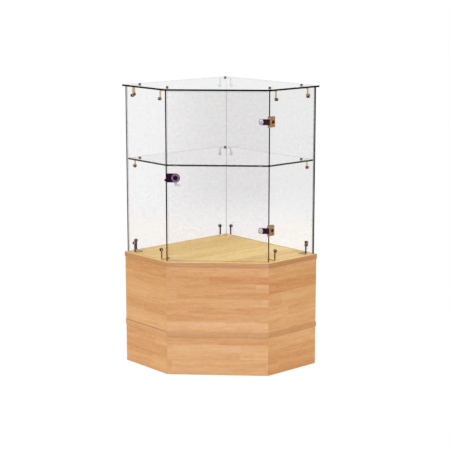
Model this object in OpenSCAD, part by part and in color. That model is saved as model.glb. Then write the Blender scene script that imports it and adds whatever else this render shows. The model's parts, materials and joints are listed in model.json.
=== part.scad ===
// Five-sided corner display case: a glass showcase on a beech-faced base.
// The back corner points to +Y, the door faces -Y, and the floor is at z = 0.
// All lengths are in millimetres.

/* [Case] */
// Length of each back wall of the glass case, measured outside
wall_l = 470; // [400:5:640]
// Length of each short side pane, measured outside
side_l = 223; // [180:1:260]
// Height from the floor to the face of the top glass
total_h = 1000; // [900:5:1300]
// Height of the wooden base
base_h = 404; // [340:1:440]
// Height of the glass shelf's face above the floor
shelf_z = 742; // [700:1:780]

/* [Glass] */
// Thickness of every sheet of glass
glass_t = 6; // [5:1:8]
// How far the top glass stands out past the panes
top_over = 8; // [7:0.5:12]
// Open joint between one pane and the next
pane_joint = 1; // [0.5:0.5:2]
// Gap between the shelf's edge and the panes
shelf_gap = 1; // [0.5:0.5:4]
// Gap between the shelf's front edge and the door
shelf_door_gap = 3; // [2.5:0.5:8]
// Gap between the door and the side panes' ends
door_side_gap = 2.5; // [2:0.5:4]
// Gap above and below the door
door_end_gap = 3; // [2:0.5:6]
// How far the side panes' front ends keep back from the case's front corners
pane_set_back = 4; // [2:0.5:5]

/* [Base] */
// Thickness of the boards and panels
board_t = 18; // [15:1:22]
// Height of the plinth under the floor board
plinth_h = 137; // [80:1:180]
// How far the wooden panels stand out past the panes
panel_over = 6; // [2:0.5:7]
// How far the boards' edges stand out past the panes
board_over = 8; // [7.5:0.5:10]
// Thickness of the lipping on the boards' edges
lipping_t = 2; // [1:0.5:3]
// Hairline joint between the mitred ends of the lippings
lipping_joint = 0.1; // [0.05:0.05:0.3]
// Leg of the three-cornered blocks glued inside the corners
block_leg = 28; // [20:1:36]
// Gap above and below each corner block
block_end_gap = 4; // [2:1:10]

/* [Dowels] */
// Diameter of the dowels between boards and panels
dowel_d = 8; // [6:1:8]
// Length of a dowel
dowel_l = 30; // [25:1:40]
// Depth of a dowel's hole in a board
dowel_in_board = 9; // [6:1:11]
// Distance from a corner of the base to its nearest dowel
dowel_in = 45; // [40:1:60]

/* [Corner connectors] */
// Distance from a wall's outer face to the connector's centre
hub_in = 36; // [32:1:42]
// Distance from a front corner of the case to the front connectors
front_hub_in = 36; // [34:1:60]
// Distance from the top glass down to the discs of its connectors' legs
top_leg = 30; // [24:1:36]
// Distance from the shelf down to the discs of its connectors' legs
shelf_leg = 26; // [22:1:36]
// Distance from the base up to the discs of its connectors' legs
base_leg = 36; // [24:1:42]
// Width of the connector's strip
strip_w = 6; // [5:0.5:8]
// Thickness of the connector's strip and discs
strip_t = 2.5; // [2:0.5:3]
// Diameter of the connector's discs
disc_d = 12.5; // [12:0.5:16]
// Diameter of the connector screws
screw_d = 5; // [4:0.5:6]
// Diameter of a connector screw's domed head
dome_d = 10; // [9:0.5:11]
// Height of a connector screw's domed head
dome_h = 3.5; // [3:0.5:4.5]
// Diameter of the clear washers
washer_d = 11.5; // [11:0.5:12]
// Thickness of the clear washers and gaskets
washer_t = 1; // [0.5:0.1:1.2]
// Diameter of the holes drilled in the glass for screws
glass_hole_d = 8; // [7:0.5:10]
// Diameter of the wood screws in the base
wood_screw_d = 4; // [3.5:0.5:5]
// Length of a wood screw under its head
wood_screw_l = 15; // [12:1:16]
// Diameter of a wood screw's head
wood_head_d = 8; // [7:0.5:9]
// Height of a wood screw's head
wood_head_h = 2.2; // [2:0.1:3]

/* [Hinges] */
// Distance from the door's top edge to the upper hinge
hinge_from_top = 101; // [60:1:140]
// Distance from the door's bottom edge to the lower hinge
hinge_from_bottom = 109; // [60:1:140]
// Height of the leaf on the side pane
leaf_h = 36.5; // [34:0.5:46]
// Width of the leaf on the side pane
leaf_w = 19.5; // [18:0.5:24]
// Distance from the side pane's end to its leaf
leaf_in = 1; // [0.5:0.5:3]
// Thickness of the leaves
leaf_t = 2.5; // [2:0.5:3]
// Height of the leaf on the door
arm_h = 20.5; // [18:0.5:24]
// Distance from the hinge pin to the round end's centre
arm_l = 24.3; // [20:0.1:28]
// Diameter of the knuckles
knuckle_d = 7.5; // [6.5:0.1:7.5]
// Diameter of the hinge pins
pin_d = 3; // [2.5:0.1:3.5]
// Distance from the door's face out to the pin's axis
pin_out = 4; // [3.8:0.1:4.2]
// Distance from the corner of the case in to the pin's axis
pin_in = 1.1; // [0.9:0.1:1.5]
// Diameter of the domed heads of the hinge screws in the side pane
pane_head_d = 12.5; // [10:0.5:14]
// Height of the domed heads of the hinge screws in the side pane
pane_head_h = 3; // [2:0.1:3.5]
// Diameter of the flat domed heads of the hinge screws in the door
door_head_d = 14; // [10:0.5:15]
// Height of the flat domed heads of the hinge screws in the door
door_head_h = 2; // [1.5:0.1:2.5]
// How far the inner plates keep back from the side pane's end
backplate_in = 5; // [4:0.5:8]

/* [Lock] */
// Distance from the shelf's face down to the lock's axis
lock_below_shelf = 45; // [40:1:70]
// Height of the lock case
case_h = 31; // [29:1:36]
// Distance from the lock's axis to the straight end of the case
case_l = 31.2; // [29:0.1:31.5]
// How far the lock case reaches past the door's edge
case_past = 3.8; // [2:0.1:4.5]
// Thickness of the lock case
case_t = 3; // [2:0.5:3]
// Diameter of the raised ring round the plug
ring_d = 28; // [25:0.5:28.5]
// Height of the raised ring
ring_h = 2; // [1:0.1:2.2]
// Diameter of the lock's threaded sleeve
sleeve_d = 22; // [20:0.5:23]
// Clearance of the hole in the door round the sleeve
sleeve_gap = 1; // [0.5:0.5:2]
// Diameter of the plug that turns
plug_d = 16; // [12:0.5:17]
// How far the plug's face stands out past the ring
plug_out = 0.6; // [0.2:0.1:0.8]
// Width of the keyhole
key_w = 1.4; // [1:0.1:2]
// Height of the keyhole
key_h = 8; // [6:0.5:10]
// Diameter of the ring nut behind the door
nut_d = 28; // [26:0.5:31]
// Thickness of the ring nut
nut_t = 3.5; // [3:0.5:4.5]
// Length of the cam from the plug's axis to its tip
cam_l = 31.5; // [30:0.5:32]
// Width of the cam
cam_w = 10; // [8:0.5:11]
// Thickness of the cam
cam_t = 2; // [1.5:0.5:2.5]
// How far the cam's hook reaches sideways from the plug's axis
hook_reach = 14; // [10:0.5:16]
// Width of the cam's hook
hook_w = 8; // [6:0.5:9]
// Diameter of the threaded tail that carries the cam
tail_d = 8; // [6:0.5:9]
// Width of the cam's hexagon nut over its corners
hex_d = 14; // [12:0.5:15]
// Thickness of the hexagon nut
hex_t = 3; // [2:0.5:4]
// Distance from the lock's axis down to the keeper's centre
keeper_below = 9; // [7:0.5:10]
// Height of the keeper clipped on the side pane's end
keeper_h = 7; // [5:0.5:8]
// Depth of the keeper's legs on the glass
keeper_leg = 6; // [4:0.5:8]
// Thickness of the keeper's metal
keeper_t = 1.2; // [0.8:0.1:1.2]

/* [Shelf buffers] */
// Distance from each front corner of the case to its buffer
buffer_in = 29; // [20:1:50]
// Width of a buffer
buffer_w = 9.5; // [5:0.5:12]
// Depth of a buffer's legs on the shelf
buffer_leg = 5; // [4:0.5:8]
// Thickness of a buffer's legs
buffer_t = 1.2; // [0.8:0.1:2]
// Gap between a buffer's nose and the door
buffer_gap = 0.4; // [0.3:0.1:0.8]

/* [Hidden] */
$fn = 64;

// Colours
beech_face = "#dba877";
beech_top = "#e3c587";
beech_edge = "#cf9a6b";
pine = "#d8bd8c";
clear_glass = [0.80, 0.86, 0.85, 0.35];
brass = "#b08d57";
dark_chrome = "#4a4048";
steel = "#b5b5b8";
dark_bronze = "#4a2f24";
clear_plastic = [0.92, 0.92, 0.92, 0.6];

// Running clearance round a pin or a plug, on the radius
run_fit = 0.05;
// Extra length that a cutting shape has at each end
cut = 0.5;
root2 = sqrt(2);

// Depth from the back corner to the door's face, and where these lie in Y
cell_d = (wall_l + side_l) / root2;
most_over = max(top_over, board_over);
corner_y = (cell_d + most_over - most_over * root2) / 2;
front_y = corner_y - cell_d;
// Half the width of the case across its front corners
front_x = (wall_l - side_l) / root2;

// Heights
floor_z = plinth_h + board_t;
board_z = base_h - board_t;
top_under = total_h - glass_t;
shelf_under = shelf_z - glass_t;
door_bottom = base_h + door_end_gap;
door_top = top_under - door_end_gap;
upper_hinge_z = door_top - hinge_from_top;
lower_hinge_z = door_bottom + hinge_from_bottom;
hinge_zs = [lower_hinge_z, upper_hinge_z];

// Length of a side pane from the case's side corner to its own front end
pane_end = side_l - pane_set_back;
// Half the door's width, up to the inner corner of a side pane's end
door_x = front_x - (glass_t - pane_set_back) / root2 - door_side_gap;
// Distance from a connector's centre to the inner face of a pane
reach = hub_in - glass_t;

// Hinge
pin_x = front_x - pin_in;
// How far the pin's axis lies beyond the side pane's end, measured along the pane
pin_beyond = pane_set_back + (pin_in + pin_out) / root2;
knuckle_end_gap = 0.3;
leaf_knuckle_gap = 0.5;
// Distance from the side pane's end to the screw, in the middle of the leaf
leaf_screw_in = leaf_in + leaf_w / 2;
// The plate behind the side pane keeps back from the pane's end
backplate_w = leaf_in + leaf_w - backplate_in;
pin_head_rim = 1.2;
pin_head_h = 1;

// Lock
lock_z = shelf_z - lock_below_shelf;
lock_x = -door_x - case_past + case_l;
case_out = washer_t + case_t;
sleeve_in = glass_t + washer_t;
cam_gap = 0.5;
cam_face = sleeve_in + nut_t + cam_gap;
key_depth = 1.5;

// Names of the five sides, counted anticlockwise from the back corner as seen from above
back_left = 0;
left = 1;
front = 2;
right = 3;
back_right = 4;

// Five corners of the case's plan, moved outwards by o: back, left, front left, front right, right
function outline(o) =
    let (lo = -o, hi = wall_l + o, sum = wall_l + side_l + o * root2)
    [for (p = [[lo, lo], [hi, lo], [hi, sum - hi], [sum - hi, hi], [lo, hi]])
        [(p.y - p.x) / root2, corner_y - (p.x + p.y) / root2]];

function unit(v) = v / norm(v);

// Direction of a side, from its first corner to its second
function side_way(side) = unit(outline(0)[(side + 1) % 5] - outline(0)[side]);

// Two places along a side, in the middle of its panel's thickness
function dowel_spots(side) =
    let (line = outline(panel_over - board_t / 2), way = side_way(side))
    [line[side] + dowel_in * way, line[(side + 1) % 5] - (dowel_in + 2 * dowel_d) * way];

// Lays children out along the walls: x runs down the back-left wall, y down the back-right one
module in_corner() {
    translate([0, corner_y, 0]) rotate(-135) children();
}

module mirrored() {
    mirror([1, 0, 0]) children();
}

module both_hands() {
    children();
    mirrored() children();
}

// Puts children on the door's face: x to the right, y up, z out of the door
module on_door(x, z) {
    translate([x, front_y, z]) rotate([90, 0, 0]) children();
}

// Puts children on the left pane's outer face: x towards the front, y up, z outwards
module on_left_pane(along, z) {
    in_corner() translate([wall_l, along, z]) rotate([90, 0, 90]) children();
}

module on_right_pane(along, z) {
    mirrored() on_left_pane(along, z) children();
}

module dome(d, h) {
    ball = (d * d / 4 + h * h) / (2 * h);
    intersection() {
        translate([0, 0, h - ball]) sphere(ball);
        cylinder(d = d + 1, h = h);
    }
}

module tube(outer_d, inner_d, h) {
    difference() {
        cylinder(d = outer_d, h = h);
        translate([0, 0, -cut]) cylinder(d = inner_d, h = h + 2 * cut);
    }
}

// Plate in the shape of the case's plan
module plan_plate(o, z, h) {
    translate([0, 0, z]) linear_extrude(h) polygon(outline(o));
}

// Strip along one side of the plan, with mitred ends that leave half of the joint open
module side_strip(side, outer, inner, z, h, joint = 0) {
    a = outline(outer);
    b = outline(inner);
    next = (side + 1) % 5;
    trim = side_way(side) * joint / 2;
    translate([0, 0, z]) linear_extrude(h)
        polygon([a[side] + trim, a[next] - trim, b[next] - trim, b[side] + trim]);
}

// Wooden base

// Places children at each dowel of one side, at the given height
module at_dowels(side, z) {
    for (p = dowel_spots(side)) {
        translate([p.x, p.y, z]) children();
    }
}

// Dowels of one side: top board to panel, panel to floor board, floor board to plinth
module side_dowels(side, grow = 0) {
    h = dowel_l + 2 * grow;
    d = dowel_d + 2 * grow;
    in_panel = dowel_l - dowel_in_board;
    at_dowels(side, board_z - in_panel - grow) cylinder(d = d, h = h);
    at_dowels(side, floor_z - dowel_in_board - grow) cylinder(d = d, h = h);
    shift_to_plinth(side) at_dowels(side, plinth_h - in_panel - grow) cylinder(d = d, h = h);
}

// The plinth's dowels stand beside the ones above them in the floor board
module shift_to_plinth(side) {
    way = side_way(side);
    translate([way.x, way.y, 0] * 2 * dowel_d) children();
}

module all_dowel_holes() {
    for (side = [0:4]) {
        side_dowels(side, run_fit);
    }
}

// Bores for the wood screws of the connectors that stand on the top board
module wood_screw_bores() {
    base_level() each_hub() translate([0, 0, -strip_t])
        cylinder(d = wood_screw_d + 2 * run_fit, h = wood_screw_l + run_fit);
}

module top_board() {
    color(beech_top) difference() {
        plan_plate(board_over - lipping_t, board_z, board_t);
        all_dowel_holes();
        wood_screw_bores();
    }
}

module floor_board() {
    color(beech_top) difference() {
        plan_plate(board_over - lipping_t, plinth_h, board_t);
        all_dowel_holes();
    }
}

module board_lipping(z) {
    color(beech_edge) for (side = [0:4]) {
        side_strip(side, board_over, board_over - lipping_t, z, board_t, lipping_joint);
    }
}

module top_board_lipping() {
    board_lipping(board_z);
}

module floor_board_lipping() {
    board_lipping(plinth_h);
}

// Upright panel between two heights, drilled for its dowels
module upright_panel(side, z0, z1) {
    color(beech_face) difference() {
        side_strip(side, panel_over, panel_over - board_t, z0, z1 - z0);
        side_dowels(side, run_fit);
    }
}

module box_panel(side) {
    upright_panel(side, floor_z, board_z);
}

module plinth_panel(side) {
    upright_panel(side, 0, plinth_h);
}

module front_panel() {
    box_panel(front);
}

module left_panel() {
    box_panel(left);
}

module right_panel() {
    box_panel(right);
}

module back_left_panel() {
    box_panel(back_left);
}

module back_right_panel() {
    box_panel(back_right);
}

module plinth_front() {
    plinth_panel(front);
}

module plinth_left() {
    plinth_panel(left);
}

module plinth_right() {
    plinth_panel(right);
}

module plinth_back_left() {
    plinth_panel(back_left);
}

module plinth_back_right() {
    plinth_panel(back_right);
}

// Three-cornered block in one corner between two heights
module corner_block(corner, z0, z1) {
    line = outline(panel_over - board_t);
    here = line[corner];
    to_next = unit(line[(corner + 1) % 5] - here);
    to_last = unit(line[(corner + 4) % 5] - here);
    translate([0, 0, z0 + block_end_gap]) linear_extrude(z1 - z0 - 2 * block_end_gap)
        polygon([here, here + block_leg * to_next, here + block_leg * to_last]);
}

module corner_blocks() {
    color(pine) for (corner = [0:4]) {
        corner_block(corner, floor_z, board_z);
        corner_block(corner, 0, plinth_h);
    }
}

module carcass_dowels() {
    color(pine) for (side = [0:4]) {
        side_dowels(side);
    }
}

// Corner connectors: a hub under the level glass, and a leg down each upright pane.
// In a connector's own frame the hub is at the origin, the level glass is at z = 0
// above it, and a leg runs out along +X to the pane at x = reach.

hub_back = [hub_in, hub_in];
hub_left = [wall_l - hub_in, hub_in];
hub_front = [wall_l - hub_in, side_l - front_hub_in];
to_back_left_wall = -90;
to_back_right_wall = 180;
to_side_pane = 0;
back_legs = [to_back_left_wall, to_back_right_wall];
side_legs = [to_back_left_wall, to_side_pane];
wall_leg = [to_back_left_wall];
front_legs = [to_side_pane];

module top_level() {
    translate([0, 0, top_under]) children();
}

module shelf_level() {
    translate([0, 0, shelf_under]) children();
}

module base_level() {
    translate([0, 0, base_h]) mirror([0, 0, 1]) children();
}

module at_hub(hub) {
    in_corner() translate(hub) children();
}

module each_hub(with_front = true) {
    at_hub(hub_back) children();
    both_hands() at_hub(hub_left) children();
    if (with_front) {
        both_hands() at_hub(hub_front) children();
    }
}

module each_turn(turns) {
    for (turn = turns) {
        rotate(turn) children();
    }
}

// Legs of the five connectors under the top glass, or on the base
module each_leg() {
    at_hub(hub_back) each_turn(back_legs) children();
    both_hands() at_hub(hub_left) each_turn(side_legs) children();
    both_hands() at_hub(hub_front) each_turn(front_legs) children();
}

// Legs of the three connectors under the shelf
module each_shelf_leg() {
    at_hub(hub_back) each_turn(back_legs) children();
    both_hands() at_hub(hub_left) each_turn(wall_leg) children();
}

// Carries children to the pane at the end of a leg, with z pointing out through the glass
module at_leg_disc(leg) {
    translate([reach, 0, -leg]) rotate([0, 90, 0]) children();
}

module connector_leg(leg, gap) {
    in_face = reach - washer_t;
    translate([0, -strip_w / 2, -gap - strip_t]) cube([in_face, strip_w, strip_t]);
    translate([in_face - strip_t, -strip_w / 2, -leg]) cube([strip_t, strip_w, leg - gap]);
    at_leg_disc(leg) translate([0, 0, -washer_t - strip_t]) cylinder(d = disc_d, h = strip_t);
}

// leg is the legs' length, and gap the washer's thickness between the hub and the level glass or board
module connector(turns, leg, gap, hub_hole) {
    difference() {
        union() {
            translate([0, 0, -gap - strip_t]) cylinder(d = disc_d, h = strip_t);
            each_turn(turns) connector_leg(leg, gap);
        }
        translate([0, 0, -gap - strip_t - cut]) cylinder(d = hub_hole, h = strip_t + 2 * cut);
        each_turn(turns) at_leg_disc(leg) translate([0, 0, -washer_t - strip_t - cut])
            cylinder(d = screw_d + 2 * run_fit, h = strip_t + 2 * cut);
    }
}

module glass_connector(hub, turns, leg) {
    color(brass) at_hub(hub) connector(turns, leg, washer_t, screw_d + 2 * run_fit);
}

module board_connector(hub, turns) {
    color(dark_bronze) base_level() at_hub(hub)
        connector(turns, base_leg, 0, wood_screw_d + 2 * run_fit);
}

module top_connector_back() {
    top_level() glass_connector(hub_back, back_legs, top_leg);
}

module top_connector_left() {
    top_level() glass_connector(hub_left, side_legs, top_leg);
}

module top_connector_right() {
    mirrored() top_connector_left();
}

module top_connector_front_left() {
    top_level() glass_connector(hub_front, front_legs, top_leg);
}

module top_connector_front_right() {
    mirrored() top_connector_front_left();
}

module shelf_connector_back() {
    shelf_level() glass_connector(hub_back, back_legs, shelf_leg);
}

module shelf_connector_left() {
    shelf_level() glass_connector(hub_left, wall_leg, shelf_leg);
}

module shelf_connector_right() {
    mirrored() shelf_connector_left();
}

module base_connector_back() {
    board_connector(hub_back, back_legs);
}

module base_connector_left() {
    board_connector(hub_left, side_legs);
}

module base_connector_right() {
    mirrored() base_connector_left();
}

module base_connector_front_left() {
    board_connector(hub_front, front_legs);
}

module base_connector_front_right() {
    mirrored() base_connector_front_left();
}

// Screw through one sheet of glass, whose inner face is at z = 0, into a connector's disc
module glass_screw() {
    shank = washer_t + strip_t + glass_t + washer_t;
    translate([0, 0, -washer_t - strip_t]) cylinder(d = screw_d, h = shank);
    translate([0, 0, glass_t + washer_t]) dome(dome_d, dome_h);
}

module connector_screws() {
    color(dark_bronze) {
        top_level() each_leg() at_leg_disc(top_leg) glass_screw();
        top_level() each_hub() glass_screw();
        shelf_level() each_shelf_leg() at_leg_disc(shelf_leg) glass_screw();
        shelf_level() each_hub(false) glass_screw();
        base_level() each_leg() at_leg_disc(base_leg) glass_screw();
    }
}

// One washer on each face of a sheet of glass whose inner face is at z = 0
module washer_pair() {
    for (z = [-washer_t, glass_t]) {
        translate([0, 0, z]) tube(washer_d, screw_d + 2 * run_fit, washer_t);
    }
}

module connector_washers() {
    color(clear_plastic) {
        top_level() each_leg() at_leg_disc(top_leg) washer_pair();
        top_level() each_hub() washer_pair();
        shelf_level() each_shelf_leg() at_leg_disc(shelf_leg) washer_pair();
        shelf_level() each_hub(false) washer_pair();
        base_level() each_leg() at_leg_disc(base_leg) washer_pair();
    }
}

// Wood screws with their heads on the base connectors and their shanks down in the top board
module board_screws() {
    color(steel) base_level() each_hub() translate([0, 0, -strip_t]) {
        mirror([0, 0, 1]) dome(wood_head_d, wood_head_h);
        cylinder(d = wood_screw_d, h = wood_screw_l);
    }
}

// Glass

// Holes for the connectors' screws in the upright panes
module leg_holes() {
    top_level() each_leg() at_leg_disc(top_leg) glass_hole();
    shelf_level() each_shelf_leg() at_leg_disc(shelf_leg) glass_hole();
    base_level() each_leg() at_leg_disc(base_leg) glass_hole();
}

module glass_hole(d = glass_hole_d) {
    translate([0, 0, -cut]) cylinder(d = d, h = glass_t + 2 * cut);
}

module upright_pane(size_x, size_y) {
    translate([0, 0, base_h]) cube([size_x, size_y, top_under - base_h]);
}

module glass_top() {
    color(clear_glass) difference() {
        plan_plate(top_over, top_under, glass_t);
        top_level() each_hub() glass_hole();
    }
}

// The shelf keeps clear of the panes and of the door
module shelf_plan() {
    keep = glass_t + shelf_gap;
    far = wall_l - keep;
    sum = wall_l + side_l - (glass_t + shelf_door_gap) * root2;
    in_corner() linear_extrude(glass_t)
        polygon([[keep, keep], [far, keep], [far, sum - far], [sum - far, far], [keep, far]]);
}

module glass_shelf() {
    color(clear_glass) shelf_level() difference() {
        shelf_plan();
        each_hub(false) glass_hole();
    }
}

module glass_back_left() {
    color(clear_glass) difference() {
        in_corner() upright_pane(wall_l, glass_t);
        leg_holes();
    }
}

module glass_back_right() {
    start = glass_t + pane_joint;
    color(clear_glass) difference() {
        in_corner() translate([0, start, 0]) upright_pane(glass_t, wall_l - start);
        leg_holes();
    }
}

// Short side pane of the left hand, which the back pane covers at its rear end
module side_pane() {
    start = glass_t + pane_joint;
    in_corner() translate([wall_l - glass_t, start, 0]) upright_pane(glass_t, pane_end - start);
}

module glass_left() {
    color(clear_glass) difference() {
        side_pane();
        leg_holes();
    }
}

module glass_right() {
    color(clear_glass) difference() {
        mirrored() side_pane();
        leg_holes();
        for (z = hinge_zs) {
            at_pane_screw(z) translate([0, 0, -glass_t]) glass_hole();
        }
    }
}

module glass_door() {
    color(clear_glass) difference() {
        translate([-door_x, front_y, door_bottom]) cube([2 * door_x, glass_t, door_top - door_bottom]);
        for (z = hinge_zs) {
            at_door_screw(z) translate([0, 0, -glass_t]) glass_hole();
        }
        on_door(lock_x, lock_z) translate([0, 0, -glass_t]) glass_hole(sleeve_d + 2 * sleeve_gap);
    }
}

// Hinges

module at_pin(z) {
    translate([pin_x, front_y - pin_out, z]) children();
}

// Carries children to a hinge screw in the side pane, with z out of the pane's outer face
module at_pane_screw(z) {
    on_right_pane(pane_end - leaf_screw_in, z) children();
}

// Carries children to a hinge screw in the door, with z out of the door's face
module at_door_screw(z) {
    on_door(pin_x - arm_l, z) children();
}

// Screw hole through a leaf, whose under side is at z = 0
module leaf_hole() {
    translate([0, 0, -cut]) cylinder(d = screw_d + 2 * run_fit, h = leaf_t + 2 * cut);
}

module pin_bore(z) {
    at_pin(z - leaf_h / 2 - cut) cylinder(d = pin_d + 2 * run_fit, h = leaf_h + 2 * cut);
}

// Leaf on the side pane, with the two outer knuckles and room between them for the door leaf's
module pane_leaf(z) {
    room_h = arm_h + 2 * knuckle_end_gap;
    difference() {
        union() {
            at_pane_screw(z) translate([-leaf_w / 2, -leaf_h / 2, washer_t])
                cube([leaf_w / 2 + leaf_screw_in + pin_beyond, leaf_h, leaf_t]);
            at_pin(z - leaf_h / 2) cylinder(d = knuckle_d, h = leaf_h);
        }
        at_pin(z - room_h / 2) cylinder(d = knuckle_d + 2 * leaf_knuckle_gap, h = room_h);
        pin_bore(z);
        at_pane_screw(z) translate([0, 0, washer_t]) leaf_hole();
    }
}

// Leaf on the door, with a round end and the middle knuckle
module door_leaf(z) {
    difference() {
        union() {
            on_door(pin_x, z) translate([-arm_l, 0, washer_t]) {
                cylinder(d = arm_h, h = leaf_t);
                translate([0, -arm_h / 2, 0]) cube([arm_l, arm_h, leaf_t]);
            }
            at_pin(z - arm_h / 2) cylinder(d = knuckle_d, h = arm_h);
        }
        pin_bore(z);
        at_door_screw(z) translate([0, 0, washer_t]) leaf_hole();
    }
}

module hinge_pin(z) {
    at_pin(z - leaf_h / 2) cylinder(d = pin_d, h = leaf_h);
    at_pin(z + leaf_h / 2) cylinder(d = pin_d + 2 * pin_head_rim, h = pin_head_h);
}

module upper_hinge_pane_leaf() {
    color(brass) pane_leaf(upper_hinge_z);
}

module upper_hinge_door_leaf() {
    color(dark_chrome) door_leaf(upper_hinge_z);
}

module upper_hinge_pin() {
    color(brass) hinge_pin(upper_hinge_z);
}

module lower_hinge_pane_leaf() {
    color(brass) pane_leaf(lower_hinge_z);
}

module lower_hinge_door_leaf() {
    color(dark_chrome) door_leaf(lower_hinge_z);
}

module lower_hinge_pin() {
    color(brass) hinge_pin(lower_hinge_z);
}

// Plate as wide as w round a screw in the side pane, drilled for the screw, from z = 0
module drilled_plate(w, t) {
    difference() {
        translate([-leaf_w / 2, -leaf_h / 2, 0]) cube([w, leaf_h, t]);
        translate([0, 0, -cut]) cylinder(d = screw_d + 2 * run_fit, h = t + 2 * cut);
    }
}

module hinge_pane_backplates() {
    color(brass) for (z = hinge_zs) {
        at_pane_screw(z) translate([0, 0, -glass_t - washer_t - leaf_t]) drilled_plate(backplate_w, leaf_t);
    }
}

module hinge_door_backplates() {
    color(dark_chrome) for (z = hinge_zs) {
        at_door_screw(z) translate([0, 0, -glass_t - washer_t - leaf_t])
            tube(arm_h, screw_d + 2 * run_fit, leaf_t);
    }
}

// Screw from the outer leaf through the glass into the plate behind it; the glass face is at z = 0
module hinge_screw(head_d, head_h) {
    inner = glass_t + washer_t + leaf_t;
    translate([0, 0, -inner]) cylinder(d = screw_d, h = inner + washer_t + leaf_t);
    translate([0, 0, washer_t + leaf_t]) dome(head_d, head_h);
}

module hinge_pane_screws() {
    color(brass) for (z = hinge_zs) {
        at_pane_screw(z) hinge_screw(pane_head_d, pane_head_h);
    }
}

module hinge_door_screws() {
    color(dark_chrome) for (z = hinge_zs) {
        at_door_screw(z) hinge_screw(door_head_d, door_head_h);
    }
}

module pane_gaskets() {
    color(clear_plastic) for (z = hinge_zs) {
        at_pane_screw(z) {
            drilled_plate(leaf_w, washer_t);
            translate([0, 0, -glass_t - washer_t]) drilled_plate(backplate_w, washer_t);
        }
    }
}

module door_gaskets() {
    color(clear_plastic) {
        for (z = hinge_zs) {
            at_door_screw(z) for (face = [0, -glass_t - washer_t]) {
                translate([0, 0, face]) tube(arm_h, screw_d + 2 * run_fit, washer_t);
            }
        }
        on_door(lock_x, lock_z) {
            tube(case_h, sleeve_d + 2 * run_fit, washer_t);
            translate([0, 0, -glass_t - washer_t]) tube(nut_d, sleeve_d + 2 * run_fit, washer_t);
        }
    }
}

// Lock

module lock_case() {
    color(dark_chrome) on_door(lock_x, lock_z) difference() {
        union() {
            translate([0, 0, washer_t]) {
                cylinder(d = case_h, h = case_t);
                translate([-case_l, -case_h / 2, 0]) cube([case_l, case_h, case_t]);
                cylinder(d = ring_d, h = case_t + ring_h);
            }
            translate([0, 0, -sleeve_in - nut_t]) cylinder(d = sleeve_d, h = sleeve_in + nut_t + case_out);
        }
        translate([0, 0, -sleeve_in - nut_t - cut])
            cylinder(d = plug_d + 2 * run_fit, h = sleeve_in + nut_t + case_out + ring_h + 2 * cut);
    }
}

module lock_ring_nut() {
    color(dark_chrome) on_door(lock_x, lock_z) translate([0, 0, -sleeve_in - nut_t])
        tube(nut_d, sleeve_d + 2 * run_fit, nut_t);
}

module lock_plug() {
    face = case_out + ring_h + plug_out;
    color(steel) on_door(lock_x, lock_z) difference() {
        union() {
            translate([0, 0, -cam_face]) cylinder(d = plug_d, h = cam_face + face);
            translate([0, 0, -cam_face - cam_t - hex_t]) cylinder(d = tail_d, h = cam_t + hex_t + cut);
        }
        translate([-key_w / 2, -key_h / 2, face - key_depth]) cube([key_w, key_h, key_depth + cut]);
    }
}

// Hooked cam behind the door: it hangs down when the door is unlocked
module lock_cam() {
    color(steel) on_door(lock_x, lock_z) translate([0, 0, -cam_face - cam_t]) difference() {
        union() {
            cylinder(d = plug_d, h = cam_t);
            translate([-cam_w / 2, -cam_l, 0]) cube([cam_w, cam_l, cam_t]);
            translate([0, -cam_l, 0]) cube([hook_reach, hook_w, cam_t]);
        }
        translate([0, 0, -cut]) cylinder(d = tail_d + 2 * run_fit, h = cam_t + 2 * cut);
    }
}

module lock_cam_nut() {
    color(steel) on_door(lock_x, lock_z) translate([0, 0, -cam_face - cam_t - hex_t]) difference() {
        cylinder(d = hex_d, h = hex_t, $fn = 6);
        translate([0, 0, -cut]) cylinder(d = tail_d + 2 * run_fit, h = hex_t + 2 * cut);
    }
}

// Clip on the left pane's front end, which the cam's hook catches behind
module lock_keeper() {
    height = lock_z - keeper_below - keeper_h / 2;
    color(dark_chrome) in_corner() translate([wall_l - glass_t, pane_end - keeper_leg, height]) difference() {
        translate([-keeper_t, 0, 0]) cube([glass_t + 2 * keeper_t, keeper_leg + keeper_t, keeper_h]);
        translate([0, -cut, -cut]) cube([glass_t, keeper_leg + cut, keeper_h + 2 * cut]);
    }
}

// Clear clips on the shelf's front edge, which the door closes against
module shelf_buffers() {
    edge_y = front_y + glass_t + shelf_door_gap;
    nose = shelf_door_gap - buffer_gap;
    h = glass_t + 2 * buffer_t;
    color(clear_plastic) both_hands() translate([front_x - buffer_in, edge_y, shelf_under]) difference() {
        translate([-buffer_w / 2, -nose, -buffer_t]) cube([buffer_w, nose + buffer_leg, h]);
        translate([-buffer_w / 2 - cut, 0, 0]) cube([buffer_w + 2 * cut, buffer_leg + cut, glass_t]);
    }
}

top_board();
top_board_lipping();
floor_board();
floor_board_lipping();
front_panel();
left_panel();
right_panel();
back_left_panel();
back_right_panel();
plinth_front();
plinth_left();
plinth_right();
plinth_back_left();
plinth_back_right();
corner_blocks();
carcass_dowels();
glass_top();
glass_shelf();
glass_back_left();
glass_back_right();
glass_left();
glass_right();
glass_door();
top_connector_back();
top_connector_left();
top_connector_right();
top_connector_front_left();
top_connector_front_right();
shelf_connector_back();
shelf_connector_left();
shelf_connector_right();
base_connector_back();
base_connector_left();
base_connector_right();
base_connector_front_left();
base_connector_front_right();
connector_screws();
connector_washers();
board_screws();
upper_hinge_pane_leaf();
upper_hinge_door_leaf();
upper_hinge_pin();
lower_hinge_pane_leaf();
lower_hinge_door_leaf();
lower_hinge_pin();
hinge_pane_backplates();
hinge_door_backplates();
hinge_pane_screws();
hinge_door_screws();
pane_gaskets();
door_gaskets();
lock_case();
lock_ring_nut();
lock_plug();
lock_cam();
lock_cam_nut();
lock_keeper();
shelf_buffers();
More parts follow.
